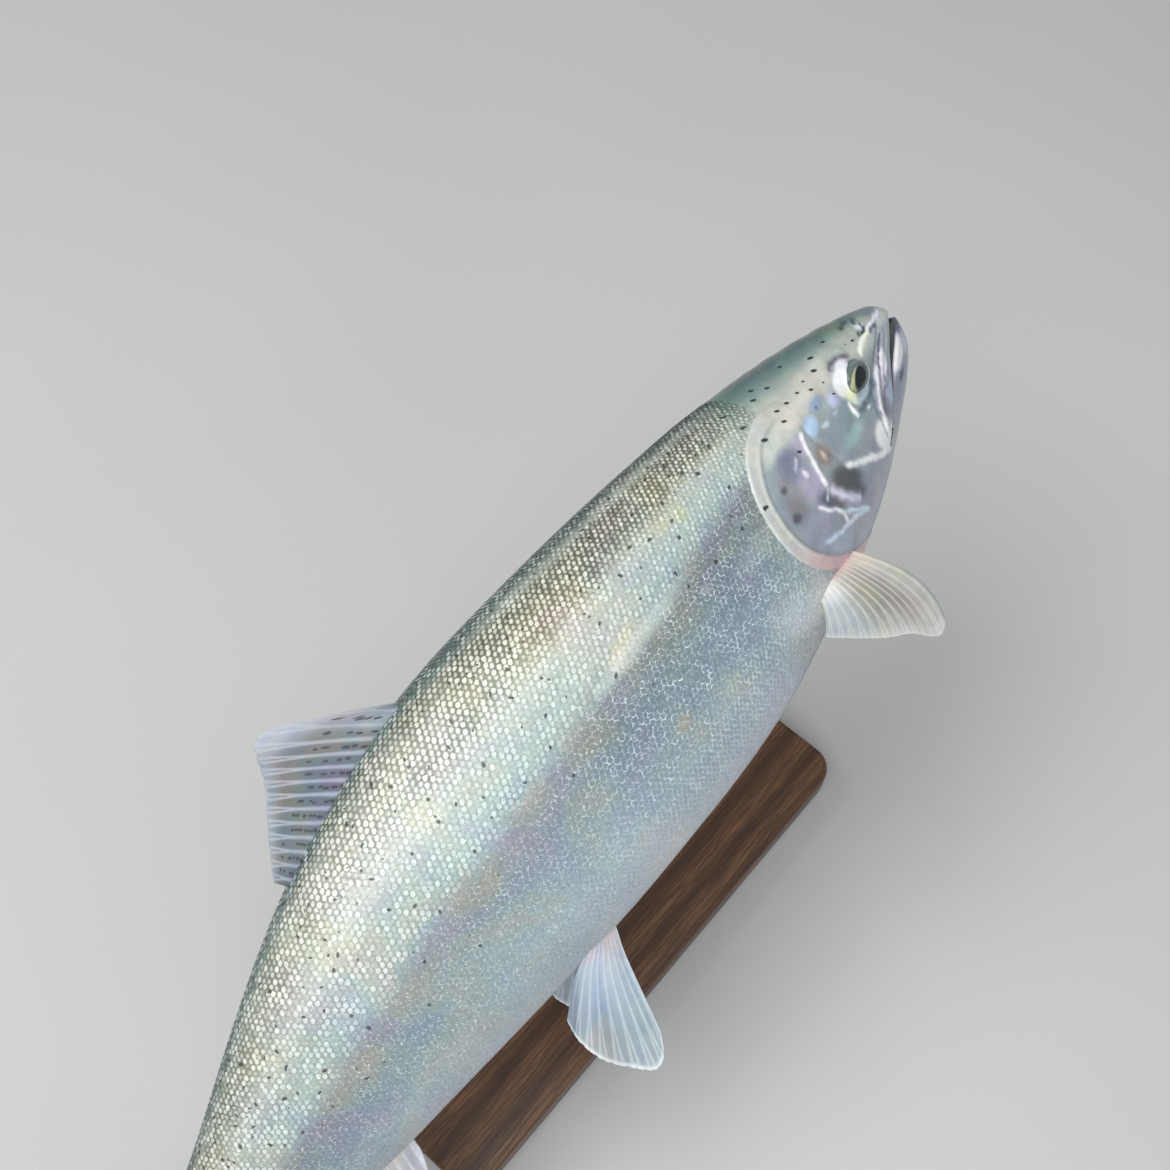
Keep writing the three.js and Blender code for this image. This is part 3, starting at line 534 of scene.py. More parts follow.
def paint(s, z, band):
    """Colour of a place: bands round the body with painted light and shade along it, turning into the
    head's, then patches and lines, with a painted shadow along the gill cover's edge.
    """
    wobble = 0.010 * ripple(s, z, 0.045, 3) + 0.010 * ripple(s, z, 0.009, 4)
    colour = bands(BODY_BANDS, band + wobble * (np.abs(band) < 0.97))
    colour = colour * (1 + 0.05 * ripple(s, z, 0.045, 5)[..., None])
    painted_light = FLANK_LIGHT(s) + (BACK_LIGHT(s) - FLANK_LIGHT(s)) * smooth(band, 0.6, 0.82)
    colour = np.minimum(colour * painted_light[..., None], BRIGHTEST_BODY)
    edge, beside = np.full(s.shape, 1.0), s < COVER_END
    edge[beside] = line_distance(COVER_EDGE, s[beside], z[beside])[0]
    head = head_share(s, z, edge)
    tint = np.maximum(head, smooth(z, 0.034, 0.052) * (1 - smooth(s + 0.5 * wobble, 0.15, 0.215)))
    colour = over(colour, bands(HEAD_BANDS, band + wobble), tint)
    front = s < PATCHES_END
    fs, fz = s[front], z[front]
    ws = fs + 0.0005 * ripple(fs, fz, 0.006, 6)
    wz = fz + 0.0005 * ripple(fs, fz, 0.005, 7)
    part = colour[front]
    for share, height, long, high, tilt, _, strength, tone in PATCHES:
        sharp = 3 if strength > 0.8 else 2
        reach = patch_reach(ws, wz, share, height, long, high, tilt)
        part = over(part, tone, strength * np.exp(-reach ** sharp))
    uneven = 0.92 + 0.2 * ripple(fs, fz, 0.004, 8)
    for points, wide, _, strength, tone in LINES:
        if strength > 0:
            low, high = points.min(0) - 0.012, points.max(0) + 0.012
            near = (ws > low[0]) & (ws < high[0]) & (wz > low[1]) & (wz < high[1])
            gap, along = line_distance(points, ws[near], wz[near])
            taper = tapered(along, 0.12) * uneven[near]
            weight = strength * taper * bell(gap, wide * (0.6 + 0.4 * taper) * MM)
            part[near] = over(part[near], tone, np.clip(1.15 * weight, 0, 1))
    grey = (part @ [0.25, 0.6, 0.15])[:, None]
    firmer = np.clip((grey / 0.36) ** 0.32, 0.5, 1.4)
    colour[front] = np.minimum(part * (1 + (firmer - 1) * head[front][:, None]), BRIGHTEST_HEAD)
    shade = 0.4 * bell(edge + 0.5 * MM, 0.9 * MM) * smooth(s, 0.15, 0.17) * (s < 0.24)
    colour = colour * (1 - shade[..., None])
    inside = smooth(edge, -1.2 * MM, 0.4 * MM)
    inside = inside * (1 - smooth(edge, (MARGIN - 0.8) * MM, (MARGIN + 0.8) * MM))
    rosy = smooth(-z, 0.012, 0.052)[..., None]
    margin = hue(194, 196, 188) * (1 - rosy) + hue(216, 180, 184) * rosy
    return over(colour, margin, inside * smooth(s, 0.14, 0.165) * 0.92)


def all_spots():
    """
    Every black spot as (share, metres above the lateral line, side, radius, tilt, stretch): the
    head's on both sides, the larger ones of the right flank, and seeded small ones, thinning out
    downwards.
    """
    found = []
    for share, height, radius in HEAD_SPOTS:
        s, z = share / 1000, height / 1000 * FORK_LENGTH
        up = float(girth_of_angle(s, angle_at(s, z)))
        found += [(s, up, side, radius * MM, 0.5, 1.35) for side in (-1, 1)]
    draw = np.random.default_rng(21)
    found += [(share / 1000, up * MM, -1, draw.uniform(0.7, 1.05) * MM, draw.uniform(-1.5, 1.5),
               draw.uniform(1.0, 1.5)) for share, up in BODY_SPOTS]
    for side, count in ((-1, 260), (1, 400)):
        s = draw.uniform(0.19, 0.93, 4 * count)
        band = draw.uniform(-0.15, 1.0, 4 * count)
        chance = 0.12 + 0.75 * smooth(band, 0.1, 0.9) + 0.35 * smooth(s, 0.6, 0.9)
        kept = np.nonzero(draw.random(4 * count) < chance)[0][:count]
        high, low = girth_reach(s)
        up = np.where(band > 0, band * high, band * low)
        size = draw.uniform(0.35, 0.85 if side < 0 else 1.05, 4 * count) * MM
        turn, stretch = draw.uniform(-1.5, 1.5, 4 * count), draw.uniform(1.0, 1.6, 4 * count)
        found += [(s[k], up[k], side, size[k], turn[k], stretch[k]) for k in kept]
    return np.array(found)


SPOTS = all_spots()


def nearest(gaps, count):
    """For each of count places, which of a series of gaps is the smallest."""
    best, which = np.full(count, 1e9), np.zeros(count, int)
    for k, gap in enumerate(gaps):
        nearer = gap < best
        best[nearer], which[nearer] = gap[nearer], k
    return which


def nearest_spot(s, up, side):
    """For each place, the black spot that is nearest for its size."""
    return nearest((
        np.hypot((s - share) * FORK_LENGTH, up - height) / radius + 1e3 * (side * flank_side < 0)
        for share, height, flank_side, radius, _, _ in SPOTS), len(s))


def from_spot(which, s, up):
    """Offset of each place from its spot, in the spot's radii, along and across its own tilt."""
    share, height, _, radius, turn, stretch = np.moveaxis(SPOTS[which], -1, 0)
    x, y = (s - share) * FORK_LENGTH / radius, (up - height) / radius
    c, n = np.cos(turn), np.sin(turn)
    return np.clip(np.stack([(x * c + y * n) / stretch, (y * c - x * n) * stretch], -1), -6, 6)


# ------------------------------------------------------------------ skin
# The trout's skin is one closed surface: it starts inside the mouth, rolls out over the lips,
# and runs back over the head, gill covers and body to the root of the tail. Bony ridges, folds,
# nostrils and eye sockets are raised or pressed into it along lines drawn in the side view.
UPPER_LIP = through([  # share, height
    [-0.02, 0.003], [0, 0.001], [0.02, -0.002], [0.04, -0.01], [0.06, -0.0245], [0.08, -0.0395],
    [0.1, -0.0515]])
LOWER_LIP = through([
    [-0.02, -0.008], [0, -0.0085], [0.02, -0.011], [0.04, -0.0175], [0.06, -0.029],
    [0.08, -0.0415], [0.1, -0.0525]])
LIP_ROUND = through([[0, 0.9], [0.04, 0.85], [0.07, 0.5], [0.1, 0.25]])  # share, radius in mm
CORNER = (0.1005, -0.052)
JAW_SLIMMER = 0.95
MOUTH_IN_FRONT, MOUTH_IN_CORNER = 0.016, 0.112  # shares at which the mouth's inside ends
MOUTH_CORNER_HEIGHT = -0.0555
ROOF_ARCH, FLOOR_DROP = 0.21, 0.004  # of the way up to the back; as a share
HALF_AROUND = 160  # columns of the grid from the back to the belly
UPPER_COLUMNS = 104  # those above the mouth
INNER_ROWS, ROLL_ROWS, HEAD_ROWS, COVER_ROWS, BODY_ROWS = 10, 6, 120, 106, 56
RING_ONE, COVER_BACK = 0.125, 0.235  # shares where the cover's rows begin and end
COAT_DEPTH = 0.25 * MM  # how much lower the skin lies under the scales
NOSTRILS = [  # share, height, half length and half height in mm, how deep
    (0.0388, 0.0172, 0.9, 0.8, 1.2), (0.0476, 0.0166, 1.0, 0.8, 1.2)]
EYE_SHARE, EYE_HEIGHT = 0.0825, 0.0045 * FORK_LENGTH
EYE_HALF = np.array([17.0, 9.0, 14.0]) / 2 * MM  # along, out and up
EYE_SUNK, EYE_DOWN_DEG = 1.9 * MM, 8
EYE_OPENING = (0.0812, 0.0056, 7.7, 5.4, -14)  # share, height, half sizes in mm, tilt


def evenly(path, count):
    """A path of points resampled at even distances, with the values that go with it."""
    points, values = path
    run = running(np.linalg.norm(np.diff(points, axis=0), axis=1))
    return np.stack([np.interp(np.linspace(0, run[-1], count), run, v) for v in values], 1)


def lip_edge(lip, away, ends_down):
    """Share and angle along one lip from the middle of the snout to the corner of the mouth."""
    s = np.linspace(0.0004 ** 0.5, CORNER[0] ** 0.5, 1500) ** 2
    z = (lip(s) + away * LIP_ROUND(s) * MM / FORK_LENGTH) * FORK_LENGTH
    top, bottom, _, _ = section(s)
    inside = (z < top) & (z > bottom)
    a = angle_at(s, z)
    s, a = s[inside], a[inside]
    corner = float(angle_at(CORNER[0], CORNER[1] * FORK_LENGTH))
    s = np.concatenate([s[:1], s, [CORNER[0]]])
    a = np.concatenate([[np.pi if ends_down else 0], a, [corner]])
    return surface(s, a), (np.sqrt(s), a)


upper = evenly(lip_edge(UPPER_LIP, 1, False), UPPER_COLUMNS + 1)
lower = evenly(lip_edge(LOWER_LIP, -1, True), HALF_AROUND - UPPER_COLUMNS + 1)
lip = np.concatenate([upper, lower[::-1][1:]])
column = np.arange(HALF_AROUND + 1)

# The first whole ring behind the mouth: its columns are even above and below the mouth's corner.
ring = surface(RING_ONE + 0 * GIRTH_ANGLES, GIRTH_ANGLES)
ring_arc = running(np.linalg.norm(np.diff(ring, axis=0), axis=1))
corner_angle = lip[UPPER_COLUMNS, 1] + 0.04
corner_arc = np.interp(corner_angle, GIRTH_ANGLES, ring_arc)
ring_at = np.interp(column, [0, UPPER_COLUMNS, HALF_AROUND], [0, corner_arc, ring_arc[-1]])
ring_angle = np.interp(ring_at, ring_arc, GIRTH_ANGLES)
even_share = column / HALF_AROUND
ring_share = ring_at / ring_arc[-1]

t = np.linspace(0, 1, HEAD_ROWS)[:, None] ** 1.08
root = lip[None, :, 0] * (1 - t) + math.sqrt(RING_ONE) * t
head_s, head_a = root ** 2, lip[None, :, 1] * (1 - t) + ring_angle[None] * t
rows = np.concatenate([
    np.linspace(RING_ONE, COVER_BACK, COVER_ROWS + 1)[1:],
    COVER_BACK + (BODY_END - 0.0005 - COVER_BACK) * np.linspace(0, 1, BODY_ROWS + 1)[1:] ** 1.02])
settle = smooth(rows, RING_ONE, 0.33)[:, None]
arc_share = ring_share[None] * (1 - settle) + even_share[None] * settle
body_a = np.array([
    np.interp(part * arc[-1], arc, GIRTH_ANGLES)
    for part, arc in zip(arc_share, [RING_ARC[round(float(share_row(s)))] for s in rows])])
skin_s = np.concatenate([head_s, np.repeat(rows[:, None], HALF_AROUND + 1, 1)])
skin_a = np.concatenate([head_a, body_a])
skin_a[:, 0], skin_a[:, -1] = 0, np.pi
skin = surface(skin_s, skin_a)
jaw = smooth(column, UPPER_COLUMNS - 1, UPPER_COLUMNS + 5)[None] * (1 - smooth(skin_s, 0.09, 0.118))
skin[..., 1] *= 1 - (1 - JAW_SLIMMER) * jaw

normal = unit(np.cross(np.gradient(skin, axis=1), np.gradient(skin, axis=0)))
normal[:, 0, 1] = normal[:, -1, 1] = 0
normal = unit(normal)
if (normal[150, 40] * (skin[150, 40] - skin[150].mean(0))).sum() < 0:
    normal = -normal
s_side, z_side = -skin[..., 0] / FORK_LENGTH, skin[..., 2] / FORK_LENGTH
skin_girth = girth_of_angle(skin_s, skin_a)
skin_band = band_of(skin_s, skin_girth)


def relief(s, z):
    """How far the head's skin stands out from its smooth form, in metres."""
    rise = np.zeros(np.shape(s))
    for points, wide, height, _, _ in LINES:
        gap, along = line_distance(points, s, z)
        rise = rise + height * tapered(along, 0.15) * bell(gap, wide * MM)
    for share, height, long, high, tilt, up, _, _ in PATCHES:
        if up:
            rise = rise + up * np.exp(-patch_reach(s, z, share, height, long, high, tilt))
    for share, height, long, high, deep in NOSTRILS:
        x, y = (s - share) * FORK_LENGTH / MM / long, (z - height) * FORK_LENGTH / MM / high
        far = np.hypot(x, y)
        rise = rise - deep * (1 - smooth(far, 0.55, 1.15)) + 0.35 * bell(far - 1.55, 0.35)
    edge, along = line_distance(COVER_EDGE, s, z)
    here = smooth(s, 0.13, 0.165) * (s < COVER_END)
    plate = 1.1 * (1 - smooth(edge, -0.2 * MM, 1.6 * MM))
    fleshy = 0.95 * smooth(edge, -1.0 * MM, 2.2 * MM)
    fleshy = fleshy * (1 - smooth(edge, (MARGIN - 0.5) * MM, (MARGIN + 0.3) * MM))
    swell = smooth(-edge, 0, 10 * MM)
    rise = rise + here * (plate * (1 - 0.45 * swell) + fleshy - 0.25)
    rise = rise + 0.12 * ripple(s, z, 0.011, 11) * smooth(s, 0.02, 0.05)
    return rise * MM


def eye_frame(side):
    """The middle of an eyeball, and its tilt, which turns it to look a little down."""
    out = float(flank(EYE_SHARE, EYE_HEIGHT)) - EYE_SUNK
    tilt = Matrix.Rotation(math.radians(-side * EYE_DOWN_DEG), 3, "X")
    return np.array([-EYE_SHARE * FORK_LENGTH, side * out, EYE_HEIGHT]), np.array(tilt)


def ball_height(points, outward):
    """
    How far along the outward direction each point lies below the eyeball's far side: the larger
    root of the line through the ellipsoid, or a deep negative number where the line misses it.
    """
    middle, tilt = eye_frame(-1)
    p, d = (points - middle) @ tilt / EYE_HALF, outward @ tilt / EYE_HALF
    a, b, c = (d * d).sum(-1), (p * d).sum(-1), (p * p).sum(-1) - 1
    inside = b * b - a * c
    return np.where(inside > 0, (-b + np.sqrt(np.maximum(inside, 0))) / a, -0.02)


bare = head_share(s_side, z_side, line_distance(COVER_EDGE, s_side, z_side)[0])
in_front = s_side < 0.27
rise = np.zeros(skin_s.shape)
rise[in_front] = relief(s_side[in_front], z_side[in_front])
reach = np.sqrt(patch_reach(s_side, z_side, *EYE_OPENING))
lid = ball_height(skin, normal) + 0.25 * MM
cover = 0.5 * (rise + lid + np.sqrt((rise - lid) ** 2 + (0.4 * MM) ** 2))
rise = np.where(lid > -0.01, cover, rise)
rise += MM * (0.25 * bell(reach - 1.06, 0.10) - 4.6 * (1 - smooth(reach, 0.86, 0.99)))
rise -= COAT_DEPTH * (1 - bare)
rise *= smooth(np.arange(len(skin_s)), 0, 6)[:, None] * (1 - smooth(skin_s, 0.925, 0.94))
skin = skin + normal * rise[..., None]

# Lips and the inside of the mouth: the edge rolls inwards, then narrows to a line in the middle.
edge_row, inward = skin[0], -normal[0]
along_lip = unit(np.gradient(edge_row, axis=0))
opening = unit(-(skin[1] - skin[0]))
opening = unit(opening - along_lip * (opening * along_lip).sum(-1, keepdims=True))
lip_round = LIP_ROUND(lip[:, 0] ** 2)[:, None] * MM
roll = np.linspace(np.pi, 0, ROLL_ROWS + 1)[:-1, None, None]
lips = edge_row + opening * lip_round * np.sin(roll) + inward * lip_round * (1 - np.cos(roll))
low, ends = column > UPPER_COLUMNS, [0, UPPER_COLUMNS, HALF_AROUND]
deep_in = np.interp(column, ends, [MOUTH_IN_FRONT, MOUTH_IN_CORNER, MOUTH_IN_FRONT])
arch = np.abs(np.sin(np.pi * np.interp(column, ends, [0.15, 1, 1.85])))
roof = UPPER_LIP(deep_in) + ROOF_ARCH * arch * (back(deep_in) - UPPER_LIP(deep_in))
floor_line = LOWER_LIP(deep_in) - FLOOR_DROP * arch
middle_line = np.stack([-deep_in, 0 * deep_in, np.where(low, floor_line, roof)], 1) * FORK_LENGTH
middle_line[UPPER_COLUMNS - 2:UPPER_COLUMNS + 3, 2] = MOUTH_CORNER_HEIGHT * FORK_LENGTH
w = np.linspace(0, 1, INNER_ROWS + 1)[:-1, None, None]
inner = middle_line * (1 - w ** 1.4) + lips[0] * w ** 1.4
half_grid = np.concatenate([inner, lips, skin])
mouth_rows = INNER_ROWS + ROLL_ROWS

# The tail end closes on the middle plane, under the root of the tail fin.
half_grid = np.concatenate([half_grid, half_grid[-1:] * [1, 0, 1]])
row_count = len(half_grid)
half_grid[:, 0, 1] = half_grid[:, -1, 1] = 0


def both_sides(values, mirror=False):
    """The right half's columns, then the left half's, which mirror them, back to the start."""
    other = values[:, -2:0:-1].copy()
    if mirror:
        other[..., 1] *= -1
    return np.concatenate([values, other], 1)


AROUND = 2 * HALF_AROUND


def ring_faces(row_count, around):
    """Quads between neighbouring rows of a grid that closes round on itself."""
    i, k = np.meshgrid(np.arange(row_count - 1), np.arange(around), indexing="ij")
    turn = (k + 1) % around
    return np.stack([
        i * around + k, (i + 1) * around + k, (i + 1) * around + turn, i * around + turn], -1
    ).reshape(-1, 4)


def zipped(faces, row, around):
    """Joins a row's left side points to the right side's, which lie at the same places."""
    k = faces - row * around
    twin = (k > around // 2) & (k < around)
    return np.where(twin, row * around + (around - k), faces)


full = both_sides(half_grid, mirror=True)
faces = zipped(zipped(ring_faces(row_count, AROUND), 0, AROUND), row_count - 1, AROUND)
points = full.reshape(-1, 3)
faces = facing_out(points, faces)
used = np.unique(faces)
renumber = np.zeros(len(points), int)
renumber[used] = np.arange(len(used))
skin_piece = closed_mesh("skin", place(points[used]), [renumber[faces]])


def with_mouth(values):
    """The outer skin's values with rows added for the mouth's inside and the tail's last row."""
    rows = np.concatenate([np.repeat(values[:1], mouth_rows, 0), values, values[-1:]])
    return both_sides(rows).reshape((row_count * AROUND,) + values.shape[2:])[used]


depth_in = np.zeros((row_count, HALF_AROUND + 1))
depth_in[:INNER_ROWS] = 1
depth_in[INNER_ROWS:mouth_rows] = np.linspace(1, 0, ROLL_ROWS)[:, None]
# The inside of the mouth is painted dark purple-brown, as painted shade in the mouth's depth.
mouth_shade = both_sides(depth_in).reshape(-1)[used][:, None]
attribute(skin_piece, "Paint", with_mouth(paint(s_side, z_side, skin_band)) * (1 - 0.9 * mouth_shade)
          + hue(60, 50, 74) * 0.9 * mouth_shade * 0.35)
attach(skin_piece, "root")
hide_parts("head", "jaw_lower", "trunk_front", "trunk_middle", "trunk_rear",
            "tail_stalk", "gill_cover_right", "gill_cover_left")

quads = corner_points(skin_piece).reshape(-1, 4)
quad_s, quad_up = with_mouth(s_side)[quads], with_mouth(skin_girth)[quads]
quad_side = np.sign(points[used][:, 1])[quads].sum(1)
which = nearest_spot(quad_s.mean(1), quad_up.mean(1), quad_side)[:, None]
corner_map(skin_piece, "Spots", from_spot(which, quad_s, quad_up))


class Wire:
    """A value in a shader: arithmetic on it adds math nodes to the tree that is being made."""

    def __init__(self, socket):
        self.socket = socket

    def __add__(self, other):
        return calc("ADD", self, other)

    def __sub__(self, other):
        return calc("SUBTRACT", self, other)

    def __rsub__(self, other):
        return calc("SUBTRACT", other, self)

    def __mul__(self, other):
        return calc("MULTIPLY", self, other)

    def __truediv__(self, other):
        return calc("DIVIDE", self, other)


def plug(made, inputs):
    """Gives a node's input sockets their values, or their links where the value is a wire."""
    for key, value in inputs.items():
        if isinstance(value, Wire):
            tree.links.new(value.socket, made.inputs[key])
        else:
            made.inputs[key].default_value = value


def add(kind, inputs=None, out=0, **settings):
    """Adds a shader node to the tree that is being made and gives one of its outputs."""
    made = tree.nodes.new("ShaderNode" + kind)
    for key, value in settings.items():
        setattr(made, key, value)
    plug(made, inputs or {})
    return Wire(made.outputs[out])


def calc(operation, *values):
    """A math node over values or wires."""
    return add("Math", dict(enumerate(values)), operation=operation)


def hypot(x, y):
    """Length of the way x along and y across."""
    return calc("SQRT", x * x + y * y)


def ease(value, start, end, low=0.0, high=1.0):
    """Turns smoothly from low to high while value goes from start to end."""
    return add("MapRange", {0: value, 1: start, 2: end, 3: low, 4: high},
               interpolation_type="SMOOTHSTEP")


def blend(factor, first, second, kind="MIX"):
    """A mix of two colours."""
    return add("Mix", {0: factor, 6: first, 7: second}, 2, data_type="RGBA", blend_type=kind)


def dimmed(colour, by):
    """The colour multiplied by another."""
    return blend(1.0, colour, (*by, 1), "MULTIPLY")


def mottled(colour, pattern, dark, light):
    """The colour made darker and lighter by a pattern."""
    return blend(1.0, colour, blend(pattern, (*dark, 1), (*light, 1)), "MULTIPLY")


def tone(red, green, blue):
    """A colour given as 0 to 255 screen values, for a shader's socket."""
    return (*hue(red, green, blue), 1.0)


def noise(scale, detail=2.0, roughness=0.5, where=None):
    """Cloudy noise fixed to the object."""
    return add("TexNoise", {"Vector": where or add("TexCoord", out="Object"), "Scale": scale,
                            "Detail": detail, "Roughness": roughness})


def point_value(name, out="Fac"):
    """An attribute of the mesh's points."""
    return add("Attribute", out=out, attribute_name=name)


def on_map(name):
    """The two coordinates of a UV map."""
    return [add("SeparateXYZ", {0: add("UVMap", uv_map=name)}, k) for k in (0, 1)]


def bump(height, strength, distance):
    """Fine relief of the shading, from a height."""
    return add("Bump", {"Height": height, "Strength": strength, "Distance": distance})


def shader_group(name, inputs, output, output_kind):
    """An empty node group with its named sockets: its tree, its given wires and its result node."""
    made = bpy.data.node_groups.new(name, "ShaderNodeTree")
    for socket, kind in inputs.items():
        made.interface.new_socket(socket, in_out="INPUT", socket_type="NodeSocket" + kind)
    made.interface.new_socket(output, in_out="OUTPUT", socket_type="NodeSocket" + output_kind)
    given = made.nodes.new("NodeGroupInput").outputs
    return made, {name: Wire(given[name]) for name in inputs}, made.nodes.new("NodeGroupOutput")


def use_group(made, inputs):
    """The result of a node group."""
    return add("Group", inputs, node_tree=made)


def new_material(name):
    """A material with a Principled shader wired to its output."""
    material = bpy.data.materials.new(name)
    material.use_nodes = True
    tree = material.node_tree
    tree.nodes.clear()
    shader = tree.nodes.new("ShaderNodeBsdfPrincipled")
    output = tree.nodes.new("ShaderNodeOutputMaterial")
    tree.links.new(shader.outputs["BSDF"], output.inputs["Surface"])
    return material, tree, shader


# Black spots: a dark mask where a place is under one radius from its spot, with a ragged edge.
tree, given, result = shader_group(
    "black spots", {"From spot": "Vector", "Ragged": "Float"}, "Mask", "Float")
spot_group = tree
length = add("VectorMath", {0: given["From spot"]}, "Value", operation="LENGTH")
far = length + (noise(900.0) - 0.5) * given["Ragged"]
plug(result, {"Mask": ease(far, 0.62, 1.12, 1.0, 0.0)})

# Pearl: a painted sheen, the slow drift of lilac, blue, green and cream that silver skin shows.
tree, given, result = shader_group("pearl", {"Size": "Float"}, "Color", "Color")
pearl_group = tree
drift = add("TexNoise", {"Vector": add("TexCoord", out="Object"), "Scale": given["Size"],
                         "Detail": 3.0, "Distortion": 0.6})
pearls = add("ValToRGB", {0: drift})
stops = pearls.socket.node.color_ramp.elements
for k, (at, colour) in enumerate([
        (0.30, tone(196, 176, 226)), (0.42, tone(166, 202, 236)), (0.52, tone(196, 232, 214)),
        (0.62, tone(240, 232, 196)), (0.74, tone(238, 200, 206))]):
    stop = stops[k] if k < 2 else stops.new(at)
    stop.position, stop.color = at, colour
plug(result, {"Color": pearls})


def pearl(size):
    """Pearl colours, a painted sheen, in smaller clouds for a larger size value."""
    return use_group(pearl_group, {"Size": size})


def black_spots(ragged):
    """Mask of the black spots of a piece that has the Spots map."""
    return use_group(spot_group, {"From spot": add("UVMap", uv_map="Spots"), "Ragged": ragged})


skin_look, tree, shader = new_material("trout skin")
clouds, pores = noise(240.0, 5.0, 0.6), noise(900.0, 3.0)
colour = mottled(point_value("Paint", "Color"), clouds, (0.72, 0.73, 0.75), (1.22, 1.21, 1.2))
colour = blend(0.07, colour, pearl(60.0))
plug(shader, {
    "Base Color": blend(black_spots(0.5) * 0.94, colour, tone(30, 32, 36)),
    "Roughness": ease(pores, 0.3, 0.7, 0.24, 0.42),
    "Normal": bump(clouds * 0.7 + pores, 0.25, 0.0004),
    "Coat Weight": 0.35, "Coat Roughness": 0.12})
skin_piece.data.materials.append(skin_look)

# ------------------------------------------------------------------ scales
# Thousands of small scales cover the body behind the head like roof tiles: each is a thin
# domed plate of bone, rooted in the skin at its front, its rounded rear edge lying on the scales
# behind. They stand in rows along the body, larger to the rear and small again on the tail stalk.
ALONG_SPACING = through([  # share, mm
    [0.15, 2.0], [0.25, 2.15], [0.35, 2.4], [0.45, 2.6], [0.55, 2.65], [0.7, 2.5], [0.82, 2.2],
    [0.94, 1.75]])
ROW_SPACING = through([
    [0.15, 1.8], [0.25, 1.9], [0.35, 2.1], [0.45, 2.25], [0.55, 2.3], [0.7, 2.2], [0.82, 1.9],
    [0.94, 1.45]])
SCALE_LONG = 1.8  # in spacings along the row
SCALE_WIDE = 0.82  # half width, in row spacings
ROW_SLOPE = through([[0.15, 0.26], [0.25, 0.23], [0.4, 0.12], [0.6, 0.02], [0.94, 0.0]])
# The zone of painted highlights on the scales ends at this band.
BEAD_HIGHLIGHT_TOP = through([  # upper limit of the beaded zone, as a band
    [0.15, 0.74], [0.34, 0.78], [0.44, 0.85], [0.54, 0.90], [0.64, 0.84], [0.74, 0.78],
    [0.94, 0.74]])
SCALE_SINK, SCALE_LIFT, SCALE_DOME = 0.22, 0.58, 0.08  # mm
PLATE_SIDES = 0.61  # share of a plate's length at its sides; the rear edge is round
SHARP_DEG = 50  # edges of the plates' rims stay sharp above this angle


def scale_roots(side):
    """Share and height of every scale's middle on one side, in rows that follow the lateral line."""
    s = np.linspace(0.15, BODY_END, 3000)
    run = running(np.diff(s) * FORK_LENGTH / (ALONG_SPACING(s[1:]) * MM))
    climb = running(np.diff(s) * FORK_LENGTH * ROW_SLOPE(s[1:]))
    step, row = np.meshgrid(np.arange(0, int(run[-1]) + 1), np.arange(-90, 66))
    draw = np.random.default_rng(40 + side)
    at = step + 0.5 * (row % 2) + draw.normal(0, 0.06, step.shape)
    share = np.interp(at, run, s)
    up = (row + 0.5 + draw.normal(0, 0.055, at.shape)) * ROW_SPACING(share) * MM
    up = up + np.interp(share, s, climb)
    high, low = girth_reach(share)
    kept = (up < high + 1.2 * MM) & (up > -low - 1.2 * MM) & (at < run[-1] - 0.3)
    share, up = share[kept], up[kept]
    z = surface(share, angle_of_girth(share, up))[:, 2] / FORK_LENGTH
    edge, _ = line_distance(COVER_EDGE, share, z)
    bare = head_share(share, z, edge)
    under_margin = (edge > (MARGIN - 2.2) * MM) & (share > 0.17) & (z < 0.036)
    kept = ((bare < 0.6) | under_margin) & ~((share < 0.2) & (z < -0.05))
    return share[kept], up[kept], np.where(under_margin, 0, bare)[kept]


# One scale on a grid: u runs from its root (0) to its round rear edge (1), v across it (-1 to 1).
ACROSS, ALONG = 7, 5
v, u = np.meshgrid([-1, -0.86, -0.5, 0, 0.5, 0.86, 1], [0, 0.4, 0.68, 0.86, 1.0])
PLATE_U, PLATE_V = u.ravel(), v.ravel()
PLATE_LONG = PLATE_U * (PLATE_SIDES + (1 - PLATE_SIDES) * np.sqrt(1 - PLATE_V ** 2))
PLATE_WIDE = PLATE_V * (0.86 + 0.14 * np.minimum(PLATE_U / 0.5, 1))
PLATE_POINTS = ACROSS * ALONG
TOP_FACES = grid_quads(np.arange(PLATE_POINTS).reshape(ALONG, ACROSS))
RIM = np.concatenate([
    np.arange(ACROSS), np.arange(1, ALONG) * ACROSS + ACROSS - 1,
    np.arange(PLATE_POINTS - 2, ACROSS * (ALONG - 1) - 1, -1),
    np.arange(ALONG - 2, 0, -1) * ACROSS])[::-1]


